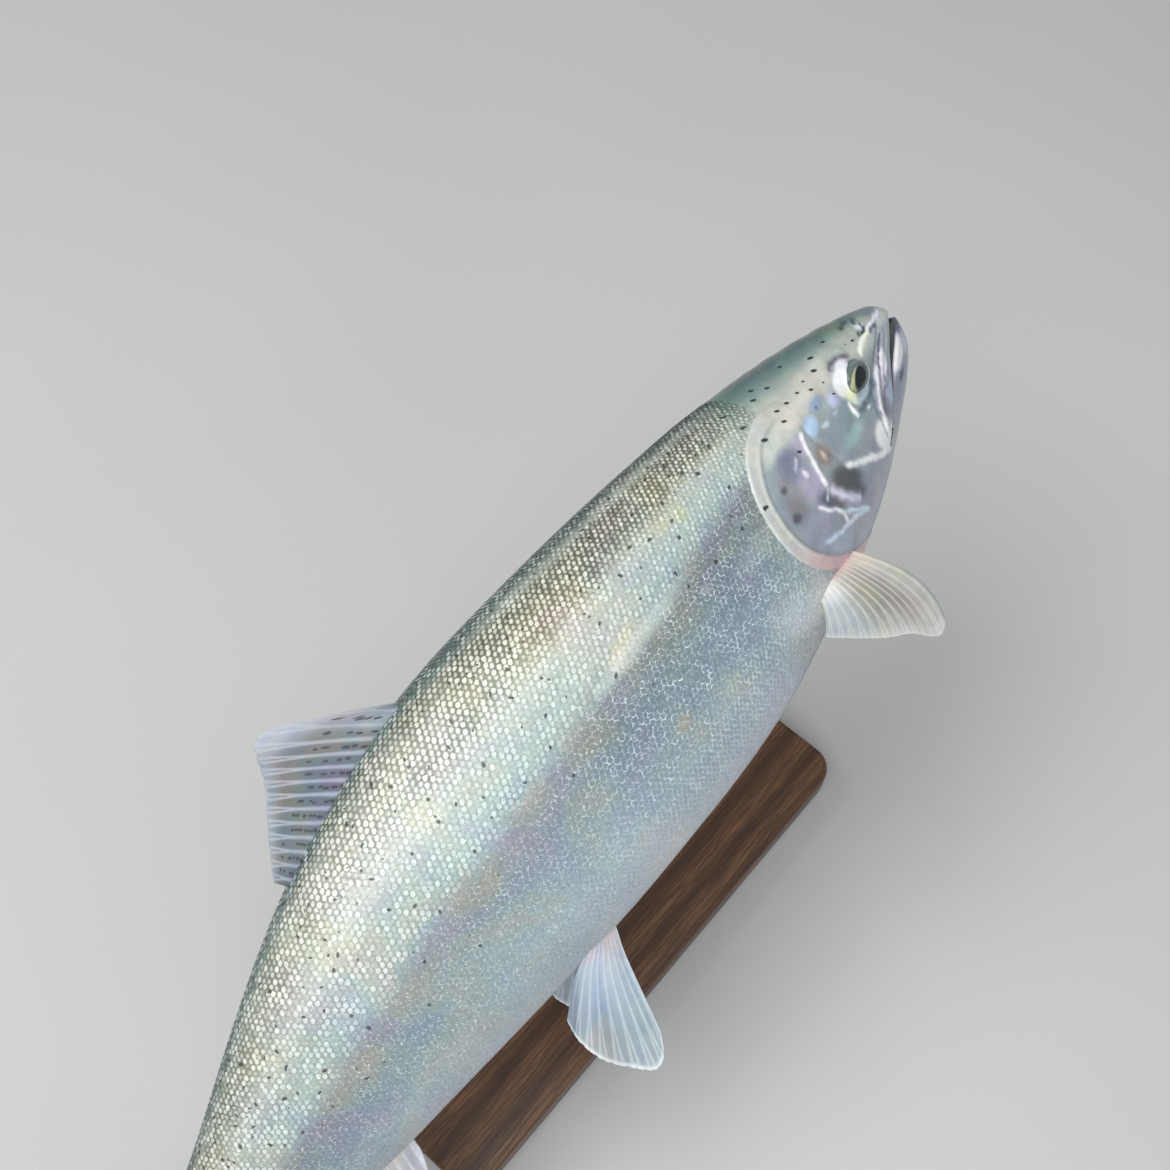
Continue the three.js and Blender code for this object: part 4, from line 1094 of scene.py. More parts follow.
def scale_coat(name, side, share, up, bare):
    """
    The scales of one stretch of one side as one mesh. Each point's place along and round the body
    gives its spot on the skin; it is then raised by the plate's slope and dome.
    """
    count = len(share)
    band = band_of(share, up)
    long = ALONG_SPACING(share)[:, None] * SCALE_LONG * MM
    wide = ROW_SPACING(share)[:, None] * SCALE_WIDE * MM
    small = 1 - 0.35 * smooth(bare, 0.0, 0.5)[:, None]
    s = share[:, None] + (PLATE_LONG - 0.62) * long * small / FORK_LENGTH
    g = up[:, None] + PLATE_WIDE * wide * small
    high, low = girth_reach(s)
    short = lambda d: 0.5 * (d + np.sqrt(d * d + (0.15 * MM) ** 2))
    g = high - short(high - g)
    g = -low + short(g + low)
    a = angle_of_girth(s, g)
    base = surface(s, a)
    step = 1e-3
    ahead = surface(np.minimum(s + step, BODY_END), a) - surface(np.minimum(s, BODY_END - step), a)
    aside = surface(s, np.clip(a + step, 0, np.pi)) - surface(s, np.clip(a - step, 0, np.pi))
    fold = (1 - PLATE_V ** 2) * np.sin(np.pi * np.clip(PLATE_U * 0.9, 0, 1)) ** 0.7
    draw = np.random.default_rng(50 + len(name) + count)
    lift = 1 + draw.normal(0, 0.04, (count, 1))
    proud = 0.5 + 0.5 * smooth(band, -0.6, -0.05)[:, None]
    rise = (SCALE_LIFT * PLATE_LONG * lift + SCALE_DOME * fold) * proud
    rise = (-COAT_DEPTH / MM - SCALE_SINK + rise) * MM * small
    points = base + unit(np.cross(ahead, aside)) * rise[..., None]
    first = np.arange(count)[:, None, None] * PLATE_POINTS
    top, under = (first + TOP_FACES[None]).reshape(-1, 4), first[:, :, 0] + RIM[None]
    if side > 0:
        points, top, under = points * [1, -1, 1], top[:, ::-1], under[:, ::-1]
    piece = closed_mesh(name, place(points.reshape(-1, 3)), [top, under])
    z = base[..., 2] / FORK_LENGTH
    attribute(piece, "Paint", paint(s.ravel(), z.ravel(), band_of(s, g).ravel()))
    middle_z = surface(share, angle_of_girth(share, up))[:, 2] / FORK_LENGTH
    uneven = 1 + 0.15 * ripple(share, middle_z, 0.02, 31)
    # How strongly each scale carries a painted highlight with painted shade round it.
    top, low = BEAD_HIGHLIGHT_TOP(share), 0.40 + 0.12 * smooth(share, 0.45, 0.6)
    bead_highlights = smooth(band, low, low + 0.2) * (1 - smooth(band, top, top + 0.09))
    bead_highlights = bead_highlights * smooth(share, 0.15, 0.20) * (1 - 0.32 * smooth(share, 0.34, 0.55))
    net = smooth(band, -0.9, -0.4) * (1 - smooth(band, 0.02, 0.22))
    net = net * (1 - 0.6 * smooth(share, 0.34, 0.5))
    for kind, values in (("Band", band), ("Bead highlights", np.clip(bead_highlights * uneven, 0, 1)),
                         ("Net", np.clip(net * uneven, 0, 1)), ("Draw", draw.random(count))):
        attribute(piece, kind, np.repeat(values, PLATE_POINTS))
    corners = corner_points(piece)
    plate = np.stack([PLATE_LONG, PLATE_V * 0.5 + 0.5], 1)
    corner_map(piece, "Scale", plate[corners % PLATE_POINTS])
    which = np.repeat(nearest_spot(share, up, np.full(count, side)), PLATE_POINTS)
    corner_map(piece, "Spots", from_spot(which, s.ravel(), g.ravel())[corners])
    unwrap = np.stack([share, 0.5 + 1.6 * up], 1)[:, None]
    patch = np.stack([PLATE_U - 0.5, PLATE_V * 0.5], 1) * 0.003
    corner_map(piece, "OFBake", (unwrap + patch[None]).reshape(-1, 2)[corners])
    piece.data.set_sharp_from_angle(angle=math.radians(SHARP_DEG))
    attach(piece, "root")
    return piece


STRETCHES = [
    ("shoulder", 0.1, 0.33), ("middle", 0.33, 0.48), ("loin", 0.48, 0.67), ("tail", 0.67, 1.0)]
scale_pieces = []
for side_name, side in (("right", -1), ("left", 1)):
    share, up, bare = scale_roots(side)
    for stretch, start, end in STRETCHES:
        here = (share >= start) & (share < end)
        scale_pieces.append(scale_coat(
            f"scales_{side_name}_{stretch}", side, share[here], up[here], bare[here]))

# Each scale's look is drawn on its own map: on the back and upper side a painted highlight on each
# scale with painted shade and dark pigment in the gaps, pale rear edges like a net below the
# lateral line, and stray painted glints, all fading on the belly.
scale_look, tree, shader = new_material("trout scales")
colour = point_value("Paint", "Color")
band, draw, bead_highlight_zone, netted = (point_value(name) for name in ("Band", "Draw", "Bead highlights", "Net"))
clouds, speckle, flecks = noise(130.0, 4.0, 0.6), noise(1100.0), noise(620.0, 2.0, 0.65)
along, across = on_map("Scale")
back_mm, up_mm = (along - 0.73) * 5.1, (across - 0.5) * 3.7
jitter = (flecks - 0.5) * 0.8
from_bead = hypot((up_mm * 0.64 - back_mm * 0.77) / 1.55, (back_mm * 0.64 + up_mm * 0.77) / 1.15)
from_bead = from_bead + jitter + ease(draw, 0.0, 1.0, 0.14, -0.10)
bead_highlight = ease(from_bead, 0.50, 0.92, 1.0, 0.0)
strength = ease(draw, 0.0, 1.0, 0.62, 1.0) * ease(clouds, 0.35, 0.6, 0.7, 1.0)
bead_highlights = blend(bead_highlight * strength, dimmed(colour, (0.21, 0.20, 0.16)),
              blend(0.52, colour, tone(250, 247, 230)))
behind = calc("MAXIMUM", along - PLATE_SIDES, 0.0) / (1 - PLATE_SIDES)
from_focus = hypot(behind, (across - 0.5) * 2.0) + jitter * 0.25
rim = ease(from_focus, 0.68, 0.84) * ease(flecks, 0.40, 0.60, 0.1, 1.0)
rim = rim * ease(clouds, 0.36, 0.58, 0.3, 1.0)
net = blend(netted * 0.85, colour, dimmed(colour, (0.56, 0.60, 0.64)))
net = mottled(net, flecks, (0.62, 0.64, 0.66), (1.36, 1.35, 1.33))
net = blend(rim * netted * ease(draw, 0.0, 1.0, 0.35, 1.0), net, tone(238, 246, 248))
# In the silver zone: painted shade round each scale's middle and a painted highlight on it.
bead_shade = (1.0 - bead_highlight) * ease(draw, 0.1, 0.9, 0.1, 0.7)
silver = blend(bead_shade, colour, dimmed(colour, (0.62, 0.66, 0.66)))
silver = blend(bead_highlight * ease(draw, 0.2, 0.9, 0.08, 0.45), silver, tone(250, 252, 248))
silver = mottled(silver, flecks, (0.66, 0.67, 0.68), (1.3, 1.3, 1.29))
colour = blend(ease(band, 0.06, 0.2), net, silver)
colour = blend(bead_highlight_zone, colour, bead_highlights)
# Stray painted glints.
glint = ease(speckle, 0.62, 0.70) * ease(band, 0.88, 0.7, 0.0, 0.45)
colour = blend(glint, colour, tone(252, 252, 250))
colour = mottled(colour, speckle, (0.74, 0.75, 0.76), (1.24, 1.24, 1.23))
colour = blend(ease(band, 0.4, 0.9, 0.12, 0.03), colour, pearl(34.0))
spot = black_spots(1.1)
plug(shader, {
    "Base Color": blend(spot * 0.85, colour, tone(40, 44, 44)),
    "Roughness": ease(draw, 0.0, 1.0, 0.34, 0.52),
    "Metallic": ease(band, 0.95, 0.6, 0.0, 0.12) * (1.0 - spot),
    "Normal": bump(calc("SINE", from_focus * 95.0), 0.12, 0.00003),
    "Specular IOR Level": 0.35, "Coat Weight": 0.12, "Coat Roughness": 0.25})
for piece in scale_pieces:
    piece.data.materials.append(scale_look)

# ------------------------------------------------------------------ fins
# Fins are thin webs of skin held open by fans of bony rays, which fork twice on the way to a
# scalloped edge. The soft rays show as ridges on both faces. The fleshy root sits in the body.


def fin_curve(rows):
    """A smooth curve through rows of u, x, y, z, in thousandths of the fork length."""
    rows = np.array(rows) / 1000
    parts = [through(rows[:, [0, k]]) for k in (1, 2, 3)]
    return lambda u: np.stack([part(u) for part in parts], -1) * FORK_LENGTH


def rooted(start, long, outline, sink):
    """Roots along the back or belly from a share over a length, sunk into the body."""
    return [(1000 * u, -1000 * (start + long * u), 0, 1000 * (outline(start + long * u) + sink))
            for u in (0, 0.25, 0.5, 0.75, 1)]


def mirrored(rows, side):
    """The rows of a fin of the right side turned over to a side."""
    return [(u, x, side * y, z) for u, x, y, z in rows]


DORSAL_TIPS = [
    (0, -461, 0, 116.5), (50, -488, 0, 145), (100, -514, 1, 171), (150, -528, 2, 178),
    (220, -535, 3, 172), (400, -546, 3, 156), (600, -561, 1, 142), (800, -578, -1, 127),
    (1000, -595, 0, 111)]
ADIPOSE_ROOTS = [(0, -800, 0, 50), (1000, -818, 0, 47)]
ADIPOSE_TIPS = [
    (0, -816, 0, 64.5), (300, -831, 0, 74), (600, -845, 0, 79), (800, -848, 0, 74),
    (1000, -838, 0, 61)]
ANAL_TIPS = [
    (0, -725, 0, -88.5), (60, -746, 0, -110), (120, -768, 0, -131), (180, -785, 0, -145.5),
    (260, -795, 0, -143), (450, -804, 0, -127), (650, -814, 0, -110), (850, -825, 0, -95),
    (1000, -833, 0, -83)]
CAUDAL_ROOTS = [
    (0, -900, 0, 41.5), (250, -925, 0, 26), (500, -932, 0, 1), (750, -925, 0, -24),
    (1000, -900, 0, -38)]
CAUDAL_TIPS = [
    (0, -930, 0, 59), (50, -972, 0, 87), (100, -1018, 0, 113), (140, -1043, 0, 123),
    (190, -1044, 0, 112), (300, -1024, 0, 69), (400, -1008, 0, 33), (500, -1000, 0, 2),
    (600, -1007, 0, -30), (700, -1021, 0, -64), (810, -1040, 0, -107), (860, -1038, 0, -118),
    (900, -1012, 0, -107), (950, -967, 0, -82), (1000, -930, 0, -55)]
PECTORAL_ROOTS = [(0, -188, 30, -64), (500, -205, 35, -64), (1000, -222, 37, -65)]
PECTORAL_TIPS = [
    (0, -221, 148, -95.5), (100, -230, 150, -96.5), (220, -234, 145, -93.5), (400, -238, 134, -87),
    (600, -246, 120, -80), (800, -253, 100, -74), (1000, -257, 77, -68)]
PELVIC_ROOTS = [(0, -492, 17, -103), (500, -504, 24, -100), (1000, -516, 29, -94)]
PELVIC_TIPS = [
    (0, -541, 43, -176), (120, -556, 46, -188), (250, -570, 46, -190), (420, -580, 44, -175),
    (600, -586, 41, -154), (800, -584, 37, -132), (1000, -574, 36, -113)]
FORK_ONE, FORK_TWO = (0.50, 1.0), (0.75, 1.15)  # where the rays part, from root (0) to edge (1)


def ray_ridges(u, v, count):
    """
    1 on the middle line of a ray, falling to 0 in the web beside it. Each of count rays parts in
    two between the first pair of heights and in four between the second.
    """
    near = np.full(np.shape(u), 9.0)
    for one in (-1, 1):
        for two in (-1, 1):
            shift = 0.2 * one * smooth(v, *FORK_ONE) + 0.12 * two * smooth(v, *FORK_TWO)
            off = u * count - 0.5 - shift
            near = np.minimum(near, np.abs(off - np.round(off)))
    wide = 0.17 - 0.10 * smooth(v, 0.1, 1.0)
    return bell(near, wide)


def fin_piece(name, roots, tips, rays, colours, across=240, along=46, bow=0.0, forward=0.0,
              thick=2.2, web=0.42, ridge=0.45, wave=0.5, notch=0.012, marks=()):
    """
    A closed fin: a sheet between its roots and tips, its two faces half a thickness to either
    side. The web is thin, rays stand up on it, the root is fleshy and the outer edge is notched
    between rays. It rides on the body and stands for the solid fin of the same name.
    """
    root, tip = fin_curve(roots), fin_curve(tips)
    u = np.linspace(0, 1, across + 1)[None]
    u = (u - 0.02 * np.sin(2 * np.pi * u) / np.pi)
    t = np.linspace(0, 1, along + 1)[:, None]
    v = 1 - (1 - t) ** 1.35
    u, v = np.broadcast_arrays(u, v)
    ray = ray_ridges(u, v, rays)
    tip_ray = ray_ridges(u, np.ones_like(v), rays)
    draw = np.random.default_rng(len(name) * 7 + rays)
    fray = np.interp(u[0], np.linspace(0, 1, 3 * rays), draw.uniform(0, 1, 3 * rays))
    reach = v * (1 - notch * smooth(v, 0.5, 1) * (1 - tip_ray + 0.7 * fray[None]))
    sheet = root(u) * (1 - reach[..., None]) + tip(u) * reach[..., None]
    sheet[..., 0] += forward * MM * (1 - u) * 4 * v * (1 - v)
    area = np.cross(np.gradient(sheet, axis=1), np.gradient(sheet, axis=0))
    mean = unit(area.sum((0, 1)))
    out = unit(area / np.median(np.linalg.norm(area, axis=-1)) + 0.3 * mean)
    out[0], out[-1] = out[1], out[-2]
    sway = bow * np.sin(np.pi * v) + wave * v * np.sin(2 * np.pi * (u * 2.3 + 0.35 * v) + rays)
    sheet = sheet + out * (sway * smooth(v, 0, 0.3) * MM)[..., None]
    rim = np.minimum(np.minimum(u, 1 - u) / 0.02, np.minimum(v / 0.02, (1 - v) / 0.05))
    rim = rounding(np.clip(rim, 0, 1), 1.0)
    fleshy = (1 - smooth(v, 0.05, 0.38)) * thick
    leading = bell(u, 0.025) * (0.9 - 0.5 * v)
    half = (web + ridge * ray * (1 - 0.72 * v) + leading + fleshy * 0.8) / 2 * rim
    grids = [sheet + side * out * (half * MM)[..., None] for side in (1, -1)]
    inner_rim = np.zeros(u.shape, bool)
    inner_rim[1:-1, 1:-1] = True
    index = np.arange(u.size).reshape(u.shape)
    other = index.copy()
    other[inner_rim] = u.size + np.arange(inner_rim.sum())
    faces = np.concatenate([grid_quads(index), grid_quads(other)[:, ::-1]])
    points = np.concatenate([grids[0].reshape(-1, 3), grids[1][inner_rim]])
    faces = facing_out(points, faces)
    piece = closed_mesh(name, place(points), [faces])
    both = lambda values: np.concatenate([values.reshape(-1), values[inner_rim]])
    uu, vv, rr = both(u), both(v), both(ray)
    attribute(piece, "Paint", colours(uu, vv, rr))
    attribute(piece, "Web", (1 - rr) * smooth(vv, 0.06, 0.4))
    size = np.linalg.norm(tip(u[0]) - root(u[0]), axis=-1).mean()
    spread = np.linalg.norm(np.diff(tip(u[0]) * 0.6 + root(u[0]) * 0.4, axis=0), axis=-1).sum()
    offset = np.full((len(faces) * 4, 2), 6.0)
    corners = corner_points(piece)
    if len(marks):
        middle_u, middle_v = uu[faces].mean(1), vv[faces].mean(1)
        which = nearest((
            np.hypot((middle_u - mark_u) * spread / wide, (middle_v - mark_v) * size / long)
            for mark_u, mark_v, wide, long in marks), len(faces))
        near = np.array(marks)[np.repeat(which, 4)]
        offset = np.clip(np.stack([
            (uu[corners] - near[:, 0]) * spread / near[:, 2],
            (vv[corners] - near[:, 1]) * size / near[:, 3]], 1), -6, 6)
    corner_map(piece, "Spots", offset)
    corner_map(piece, "Fin", np.stack([uu, vv], 1)[corners])
    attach(piece, "root")
    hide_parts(name)
    return piece


def dorsal_colours(u, v, ray):
    """Grey with dark web, pale rays, a pale front corner and a dark leading edge."""
    colour = bands([(0, (110, 136, 130)), (0.07, (128, 138, 148)), (0.35, (128, 130, 146)),
                    (0.75, (128, 130, 146)), (1, (146, 148, 162))], v)
    web = (1 - smooth(ray, 0.05, 0.5)) * smooth(v, 0.05, 0.16) * (1 - 0.75 * smooth(v, 0.75, 1.0))
    colour = over(colour, (52, 54, 66), 0.85 * web * smooth(u, 0.08, 0.2))
    colour = over(colour, (162, 164, 180), 0.6 * smooth(ray, 0.55, 0.95) * smooth(v, 0.02, 0.2))
    front = 1 - smooth(np.hypot((u - 0.13) * 3.2, v - 1), 0.1, 0.5)
    colour = over(colour, (184, 184, 194), 0.8 * front)
    edge = bell(u, 0.02) * (1 - smooth(v, 0.75, 0.9))
    return over(colour, (48, 46, 50), 0.85 * edge)


def adipose_colours(u, v, ray):
    """Olive grey with a black edge."""
    colour = bands([(0, (118, 132, 122)), (0.5, (140, 148, 138)), (1, (126, 130, 118))], v)
    return over(colour, (46, 50, 50), 0.8 * smooth(v, 0.8, 0.95))


def anal_colours(u, v, ray):
    """Pale, with a white leading edge."""
    colour = bands([(0, (206, 192, 190)), (0.3, (192, 190, 192)), (1, (182, 184, 190))], v)
    colour = over(colour, (140, 140, 148), 0.5 * (1 - ray) * smooth(v, 0.15, 0.4))
    colour = over(colour, (226, 224, 224), 0.6 * ray)
    return over(colour, (238, 238, 238), 0.8 * bell(u, 0.05))


def caudal_colours(u, v, ray):
    """Blue-grey with pale rays, darker at the rear edge."""
    colour = bands([(0, (150, 158, 156)), (0.3, (148, 158, 164)), (0.85, (150, 158, 166)),
                    (1, (112, 118, 126))], v)
    colour = over(colour, (116, 122, 128), 0.7 * (1 - ray) * smooth(v, 0.1, 0.3))
    return over(colour, (206, 210, 214), 0.6 * ray * smooth(v, 0.02, 0.2))


def pectoral_colours(u, v, ray):
    """Rosy root with a painted highlight, cream rays with brown web in front, bluish behind."""
    colour = bands([(0, (214, 160, 158)), (0.08, (216, 178, 174)), (0.18, (204, 190, 182)),
                    (0.4, (190, 184, 168)), (0.8, (182, 178, 162)), (1, (196, 192, 178))], v)
    rear = smooth(u, 0.5, 0.8) * smooth(v, 0.1, 0.3)
    colour = over(colour, (192, 200, 206), 0.8 * rear)
    brown = (1 - smooth(ray, 0.1, 0.6)) * smooth(v, 0.1, 0.25) * (1 - smooth(v, 0.6, 0.95))
    colour = over(colour, (136, 118, 98), 0.6 * brown * (1 - rear) * smooth(u, 0.12, 0.3))
    colour = over(colour, (232, 226, 220), 0.3 * ray * smooth(v, 0.1, 0.3))
    # A painted highlight on the root.
    root_highlight = bell(u - 0.80, 0.14) * (1 - smooth(v, 0.1, 0.4))
    colour = over(colour, (244, 240, 238), 0.7 * root_highlight)
    colour = over(colour, (226, 222, 214), 0.5 * smooth(v, 0.88, 0.98))
    return over(colour, (132, 130, 126), 0.6 * bell(u, 0.025) * smooth(v, 0.15, 0.3))


def pelvic_colours(u, v, ray):
    """Rosy root, blue-grey blade with a blue patch behind its middle and white edges."""
    colour = bands([(0, (222, 196, 196)), (0.12, (206, 202, 212)), (0.4, (170, 184, 200)),
                    (0.7, (152, 162, 172)), (1, (150, 156, 162))], v)
    blue = bell(u - 0.62, 0.10) * (1 - smooth(v, 0.5, 0.8))
    colour = over(colour, (178, 192, 226), 0.6 * blue)
    colour = over(colour, (206, 212, 220), 0.35 * ray * smooth(v, 0.1, 0.3))
    colour = over(colour, (120, 132, 140), 0.35 * (1 - ray) * smooth(v, 0.35, 0.6))
    edge = np.maximum(bell(u, 0.03), smooth(v, 0.955, 0.985))
    return over(colour, (228, 232, 236), 0.7 * edge)


def dash_marks(rays, low, high, steps, wide, long, seed, chance=0.8):
    """Seeded rows of short dark dashes in the web between neighbouring rays."""
    draw = np.random.default_rng(seed)
    made = []
    for k in range(1, rays):
        for v in np.linspace(low, high, steps):
            fade = chance * (1 - 0.75 * smooth(v, 0.5 * (low + high), high)) + 0.25 * (k / rays > 0.7)
            if draw.random() < fade:
                made.append((k / rays + draw.normal(0, 0.004), v + draw.normal(0, 0.015),
                             wide * draw.uniform(0.7, 1.2), long * draw.uniform(0.6, 1.3)))
    return made


ADIPOSE_MARKS = [(0.55, 0.55, 0.0008, 0.001), (0.8, 0.4, 0.0007, 0.0009)]
fins = [
    fin_piece("fin_dorsal", rooted(0.455, 0.137, back, -0.008), DORSAL_TIPS, 13, dorsal_colours,
              ridge=0.3, marks=dash_marks(13, 0.08, 0.72, 9, 0.0009, 0.0012, 5)),
    fin_piece("fin_adipose", ADIPOSE_ROOTS, ADIPOSE_TIPS, 8, adipose_colours, across=60, along=30,
              thick=2.6, web=1.2, wave=0.2, marks=ADIPOSE_MARKS),
    fin_piece("fin_anal", rooted(0.714, 0.088, belly, 0.008), ANAL_TIPS, 12, anal_colours),
    fin_piece("fin_caudal", CAUDAL_ROOTS, CAUDAL_TIPS, 19, caudal_colours, across=300, along=60,
              thick=2.4, marks=dash_marks(19, 0.12, 0.9, 8, 0.0007, 0.0014, 9, 0.75))]
for side_name, side in (("right", -1), ("left", 1)):
    fins.append(fin_piece(
        f"fin_pectoral_{side_name}", mirrored(PECTORAL_ROOTS, side), mirrored(PECTORAL_TIPS, side),
        13, pectoral_colours, bow=3.0 * side, forward=9, wave=0.4, ridge=0.22, notch=0.003))
    fins.append(fin_piece(
        f"fin_pelvic_{side_name}", mirrored(PELVIC_ROOTS, side), mirrored(PELVIC_TIPS, side),
        9, pelvic_colours, across=200, bow=2.0 * side, wave=0.6, ridge=0.25, notch=0.008))

fin_look, tree, shader = new_material("trout fins")
web, clouds = point_value("Web"), noise(150.0, 5.0, 0.65)
joints = calc("SINE", on_map("Fin")[1] * 260.0)
colour = mottled(point_value("Paint", "Color"), clouds, (0.70, 0.71, 0.74), (1.24, 1.23, 1.22))
colour = blend(web * 0.30, colour, dimmed(colour, (0.52, 0.54, 0.58)))
colour = blend(0.12, colour, pearl(45.0))
plug(shader, {
    "Base Color": blend(black_spots(0.6) * 0.88, colour, tone(40, 40, 46)),
    "Roughness": ease(clouds, 0.3, 0.7, 0.28, 0.45),
    "Normal": bump(clouds + joints * ((1.0 - web) * 0.25), 0.3, 0.0003),
    "Coat Weight": 0.25, "Coat Roughness": 0.15})
for fin in fins:
    fin.data.materials.append(fin_look)

# ------------------------------------------------------------------ eyes
# A fish's eye is a flattened ball without lids: a clear cornea over an iris of silver, green and
# gold round a black pupil, which is pointed to the front.
EYE_ROWS, EYE_ROUND = 40, 72
polar = np.linspace(0, np.pi, EYE_ROWS)[1:-1, None]
turn = np.linspace(0, 2 * np.pi, EYE_ROUND, endpoint=False)[None]
k = np.arange(EYE_ROUND)
last_ring = 1 + (EYE_ROWS - 3) * EYE_ROUND
eyes = []
for side_name, side in (("right", -1), ("left", 1)):
    rounds = np.stack(np.broadcast_arrays(
        np.sin(polar) * np.cos(turn), side * np.cos(polar), np.sin(polar) * np.sin(turn)), -1)
    ball = np.concatenate([[[0, side, 0]], rounds.reshape(-1, 3), [[0, -side, 0]]])
    from_pupil = np.hypot(ball[:, 0] - 0.1, ball[:, 2])
    points = ball * EYE_HALF
    points[:, 1] *= 1 + 0.05 * np.exp(-((from_pupil / 0.42) ** 4)) * (ball[:, 1] * side > 0)
    front = np.stack([0 * k, (k + 1) % EYE_ROUND + 1, k + 1], 1)
    rear = np.stack([
        0 * k + len(ball) - 1, last_ring + k, last_ring + (k + 1) % EYE_ROUND], 1)
    groups = [facing_out(ball, faces)
              for faces in (ring_faces(EYE_ROWS - 2, EYE_ROUND) + 1, rear, front)]
    middle, tilt = eye_frame(side)
    eye = closed_mesh(f"eyeball_{side_name}", place(points @ tilt.T + middle), groups)
    corner_map(eye, "Iris", ball[:, [0, 2]][corner_points(eye)] * 0.5 + 0.5)
    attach(eye, "root")
    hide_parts(f"eye_{side_name}")
    eyes.append(eye)

# The iris: gold behind the pupil, green-grey above, a bluish pale ring in front and below.
eye_look, tree, shader = new_material("trout eye")
forward, upward = ((place_on_face - 0.5) * 2.0 for place_on_face in on_map("Iris"))
threads, clouds = noise(1300.0, 4.0, 0.7), noise(260.0, 3.0)


def eye_oval(forward_at, up_at, long, high, turn_deg, soft):
    """1 inside an oval of the eye's face and 0 outside, in half eye sizes."""
    c, n = math.cos(math.radians(turn_deg)), math.sin(math.radians(turn_deg))
    x, y = forward - forward_at, upward - up_at
    far = hypot((x * c + y * n) / long, (y * c - x * n) / high)
    return ease(far, 1 - soft, 1 + soft, 1.0, 0.0)


colour = blend(ease(upward, -0.3, 0.8), tone(58, 74, 80), tone(84, 102, 98))
colour = blend(threads * 0.45, colour, tone(120, 134, 128))
pale = eye_oval(0.0, 0.02, 0.92, 0.90, 45, 0.04) - eye_oval(-0.03, 0.06, 0.84, 0.80, 45, 0.08)
pale = calc("MAXIMUM", pale, 0.0) * ease(forward, 0.0, 0.4)
colour = blend(pale * 0.6, colour, tone(150, 168, 176))
gold = eye_oval(-0.08, -0.06, 0.76, 0.58, 48, 0.06) - eye_oval(0.0, 0.02, 0.68, 0.415, 48, 0.05)
gold = calc("MAXIMUM", gold, 0.0) * ease(upward - forward, 0.05, 0.25)
colour = blend(gold, colour, blend(clouds, tone(190, 184, 110), tone(252, 250, 200)))
pupil = eye_oval(0.02, 0.05, 0.60, 0.37, 48, 0.05)
plug(shader, {
    "Base Color": blend(pupil, colour, tone(14, 20, 28)),
    "Roughness": ease(threads, 0.2, 0.8, 0.10, 0.2),
    "Metallic": gold * 0.6,
    "Normal": bump(threads, 0.06, 0.0002),
    "Coat Weight": 1.0, "Coat Roughness": 0.03})
for eye in eyes:
    eye.data.materials.append(eye_look)

# ------------------------------------------------------------------ stand
# A plain display stand: a walnut board with rounded corners, oiled and waxed, and two brushed
# steel rods set into it that carry the body. Both keep their solid's own shape.
GRAIN_TURN = (0, 0, math.radians(-12))  # the grain runs along the board


def stretched(scale, turn=(0, 0, 0)):
    """Places on the object, turned and scaled, for a pattern that runs along a direction."""
    return add("Mapping", {0: add("TexCoord", out="Object"), "Rotation": turn, "Scale": scale})


walnut_look, tree, shader = new_material("oiled walnut")
growth = add("TexWave", {
    "Vector": stretched((1.0, 9.0, 9.0), GRAIN_TURN), "Scale": 2.4, "Distortion": 5.0,
    "Detail": 4.0, "Detail Scale": 1.4, "Detail Roughness": 0.6}, "Fac", bands_direction="Y")
fibre = noise(42.0, 6.0, 0.7, stretched((1.0, 26.0, 26.0), GRAIN_TURN))
colour = blend(growth, tone(84, 56, 38), tone(132, 92, 62))
plug(shader, {
    "Base Color": blend(ease(fibre, 0.42, 0.62, 0.75, 0.0), colour, tone(58, 38, 26)),
    "Roughness": ease(fibre, 0.3, 0.7, 0.50, 0.36),
    "Normal": bump(fibre, 0.25, 0.0004),
    "Coat Weight": 0.15, "Coat Roughness": 0.3})

steel_look, tree, shader = new_material("brushed steel")
brushing = noise(6.0, 5.0, where=stretched((14.0, 14.0, 500.0)))
colour = blend(noise(45.0, 3.0), tone(150, 152, 154), tone(186, 187, 188))
plug(shader, {
    "Base Color": blend(brushing * 0.5, colour, tone(120, 122, 124)),
    "Roughness": ease(brushing, 0.3, 0.7, 0.24, 0.42),
    "Normal": bump(brushing, 0.2, 0.00008),
    "Metallic": 1.0})
for name, look in (
        ("stand_base", walnut_look), ("stand_rod_front", steel_look), ("stand_rod_rear", steel_look)):
    nodes[name].data.materials.clear()
    nodes[name].data.materials.append(look)

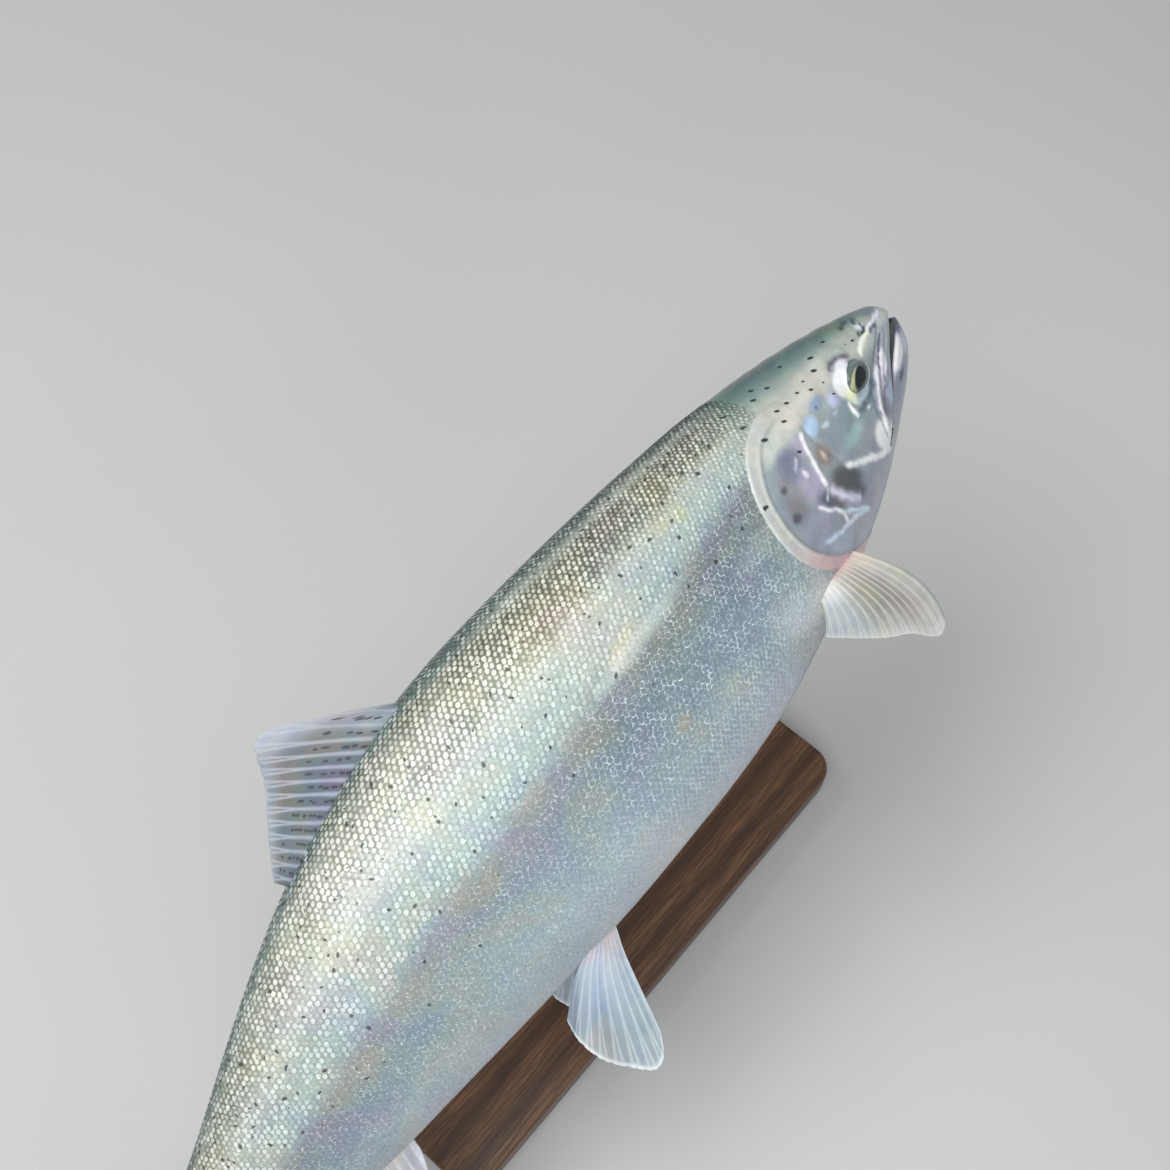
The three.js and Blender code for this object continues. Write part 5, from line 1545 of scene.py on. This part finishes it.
# ------------------------------------------------------------------ camera, floor and light
# The camera looks down on the trout's right side from ahead; a plain pale floor and soft lamps.
CAMERA_AT = (-0.10705, -0.1365, 0.8129)
CAMERA_TURN_DEG, CAMERA_HEIGHT_DEG, CAMERA_LENS = -49.3, 65.0, 51.34
LAMPS_AIM = (0.03, 0, 0.18)
camera = put_in_scene("camera", bpy.data.cameras.new("camera"))
camera.data.sensor_width = 36
camera.data.lens = CAMERA_LENS
turn, lift = math.radians(CAMERA_TURN_DEG), math.radians(CAMERA_HEIGHT_DEG)
right = Vector((math.cos(turn), math.sin(turn), 0))
behind = Vector((math.sin(turn) * math.cos(lift), -math.cos(turn) * math.cos(lift), math.sin(lift)))
facing = Matrix((right, behind.cross(right), behind)).transposed().to_4x4()
facing.translation = Vector(CAMERA_AT)
camera.matrix_world = facing
bpy.context.scene.camera = camera

floor_mesh = bpy.data.meshes.new("floor")
floor_mesh.from_pydata([(-3, -3, 0), (3, -3, 0), (3, 3, 0), (-3, 3, 0)], [], [(0, 1, 2, 3)])
floor = put_in_scene("floor", floor_mesh)
floor_look, tree, shader = new_material("pale floor")
plug(shader, {
    "Base Color": blend(noise(3.0), (0.50, 0.51, 0.50, 1), (0.56, 0.56, 0.55, 1)),
    "Roughness": 0.8})
floor.data.materials.append(floor_look)

world = bpy.data.worlds.new("studio")
bpy.context.scene.world = world
world.use_nodes = True
plug(world.node_tree.nodes["Background"], {"Color": (0.93, 0.96, 1.0, 1), "Strength": 0.28})


def softbox(name, where, size, power, colour):
    """An area lamp of a size in metres, turned to the trout."""
    lamp = bpy.data.lights.new(name, "AREA")
    lamp.shape, lamp.size, lamp.size_y = "RECTANGLE", *size
    lamp.energy, lamp.color = power, colour
    held = put_in_scene(name, lamp)
    held.location = where
    held.rotation_mode = "QUATERNION"
    held.rotation_quaternion = (Vector(LAMPS_AIM) - Vector(where)).to_track_quat("-Z", "Y")


softbox("key", (-0.40, 0.60, 1.60), (1.1, 0.9), 11, (1.0, 0.98, 0.94))
softbox("overhead", (-0.50, 0.05, 1.65), (1.5, 1.5), 20, (0.98, 0.99, 1.0))
softbox("fill", (-0.7, -1.3, 0.8), (1.4, 1.2), 9, (0.95, 0.98, 1.0))
bpy.context.scene.view_settings.view_transform = "Standard"
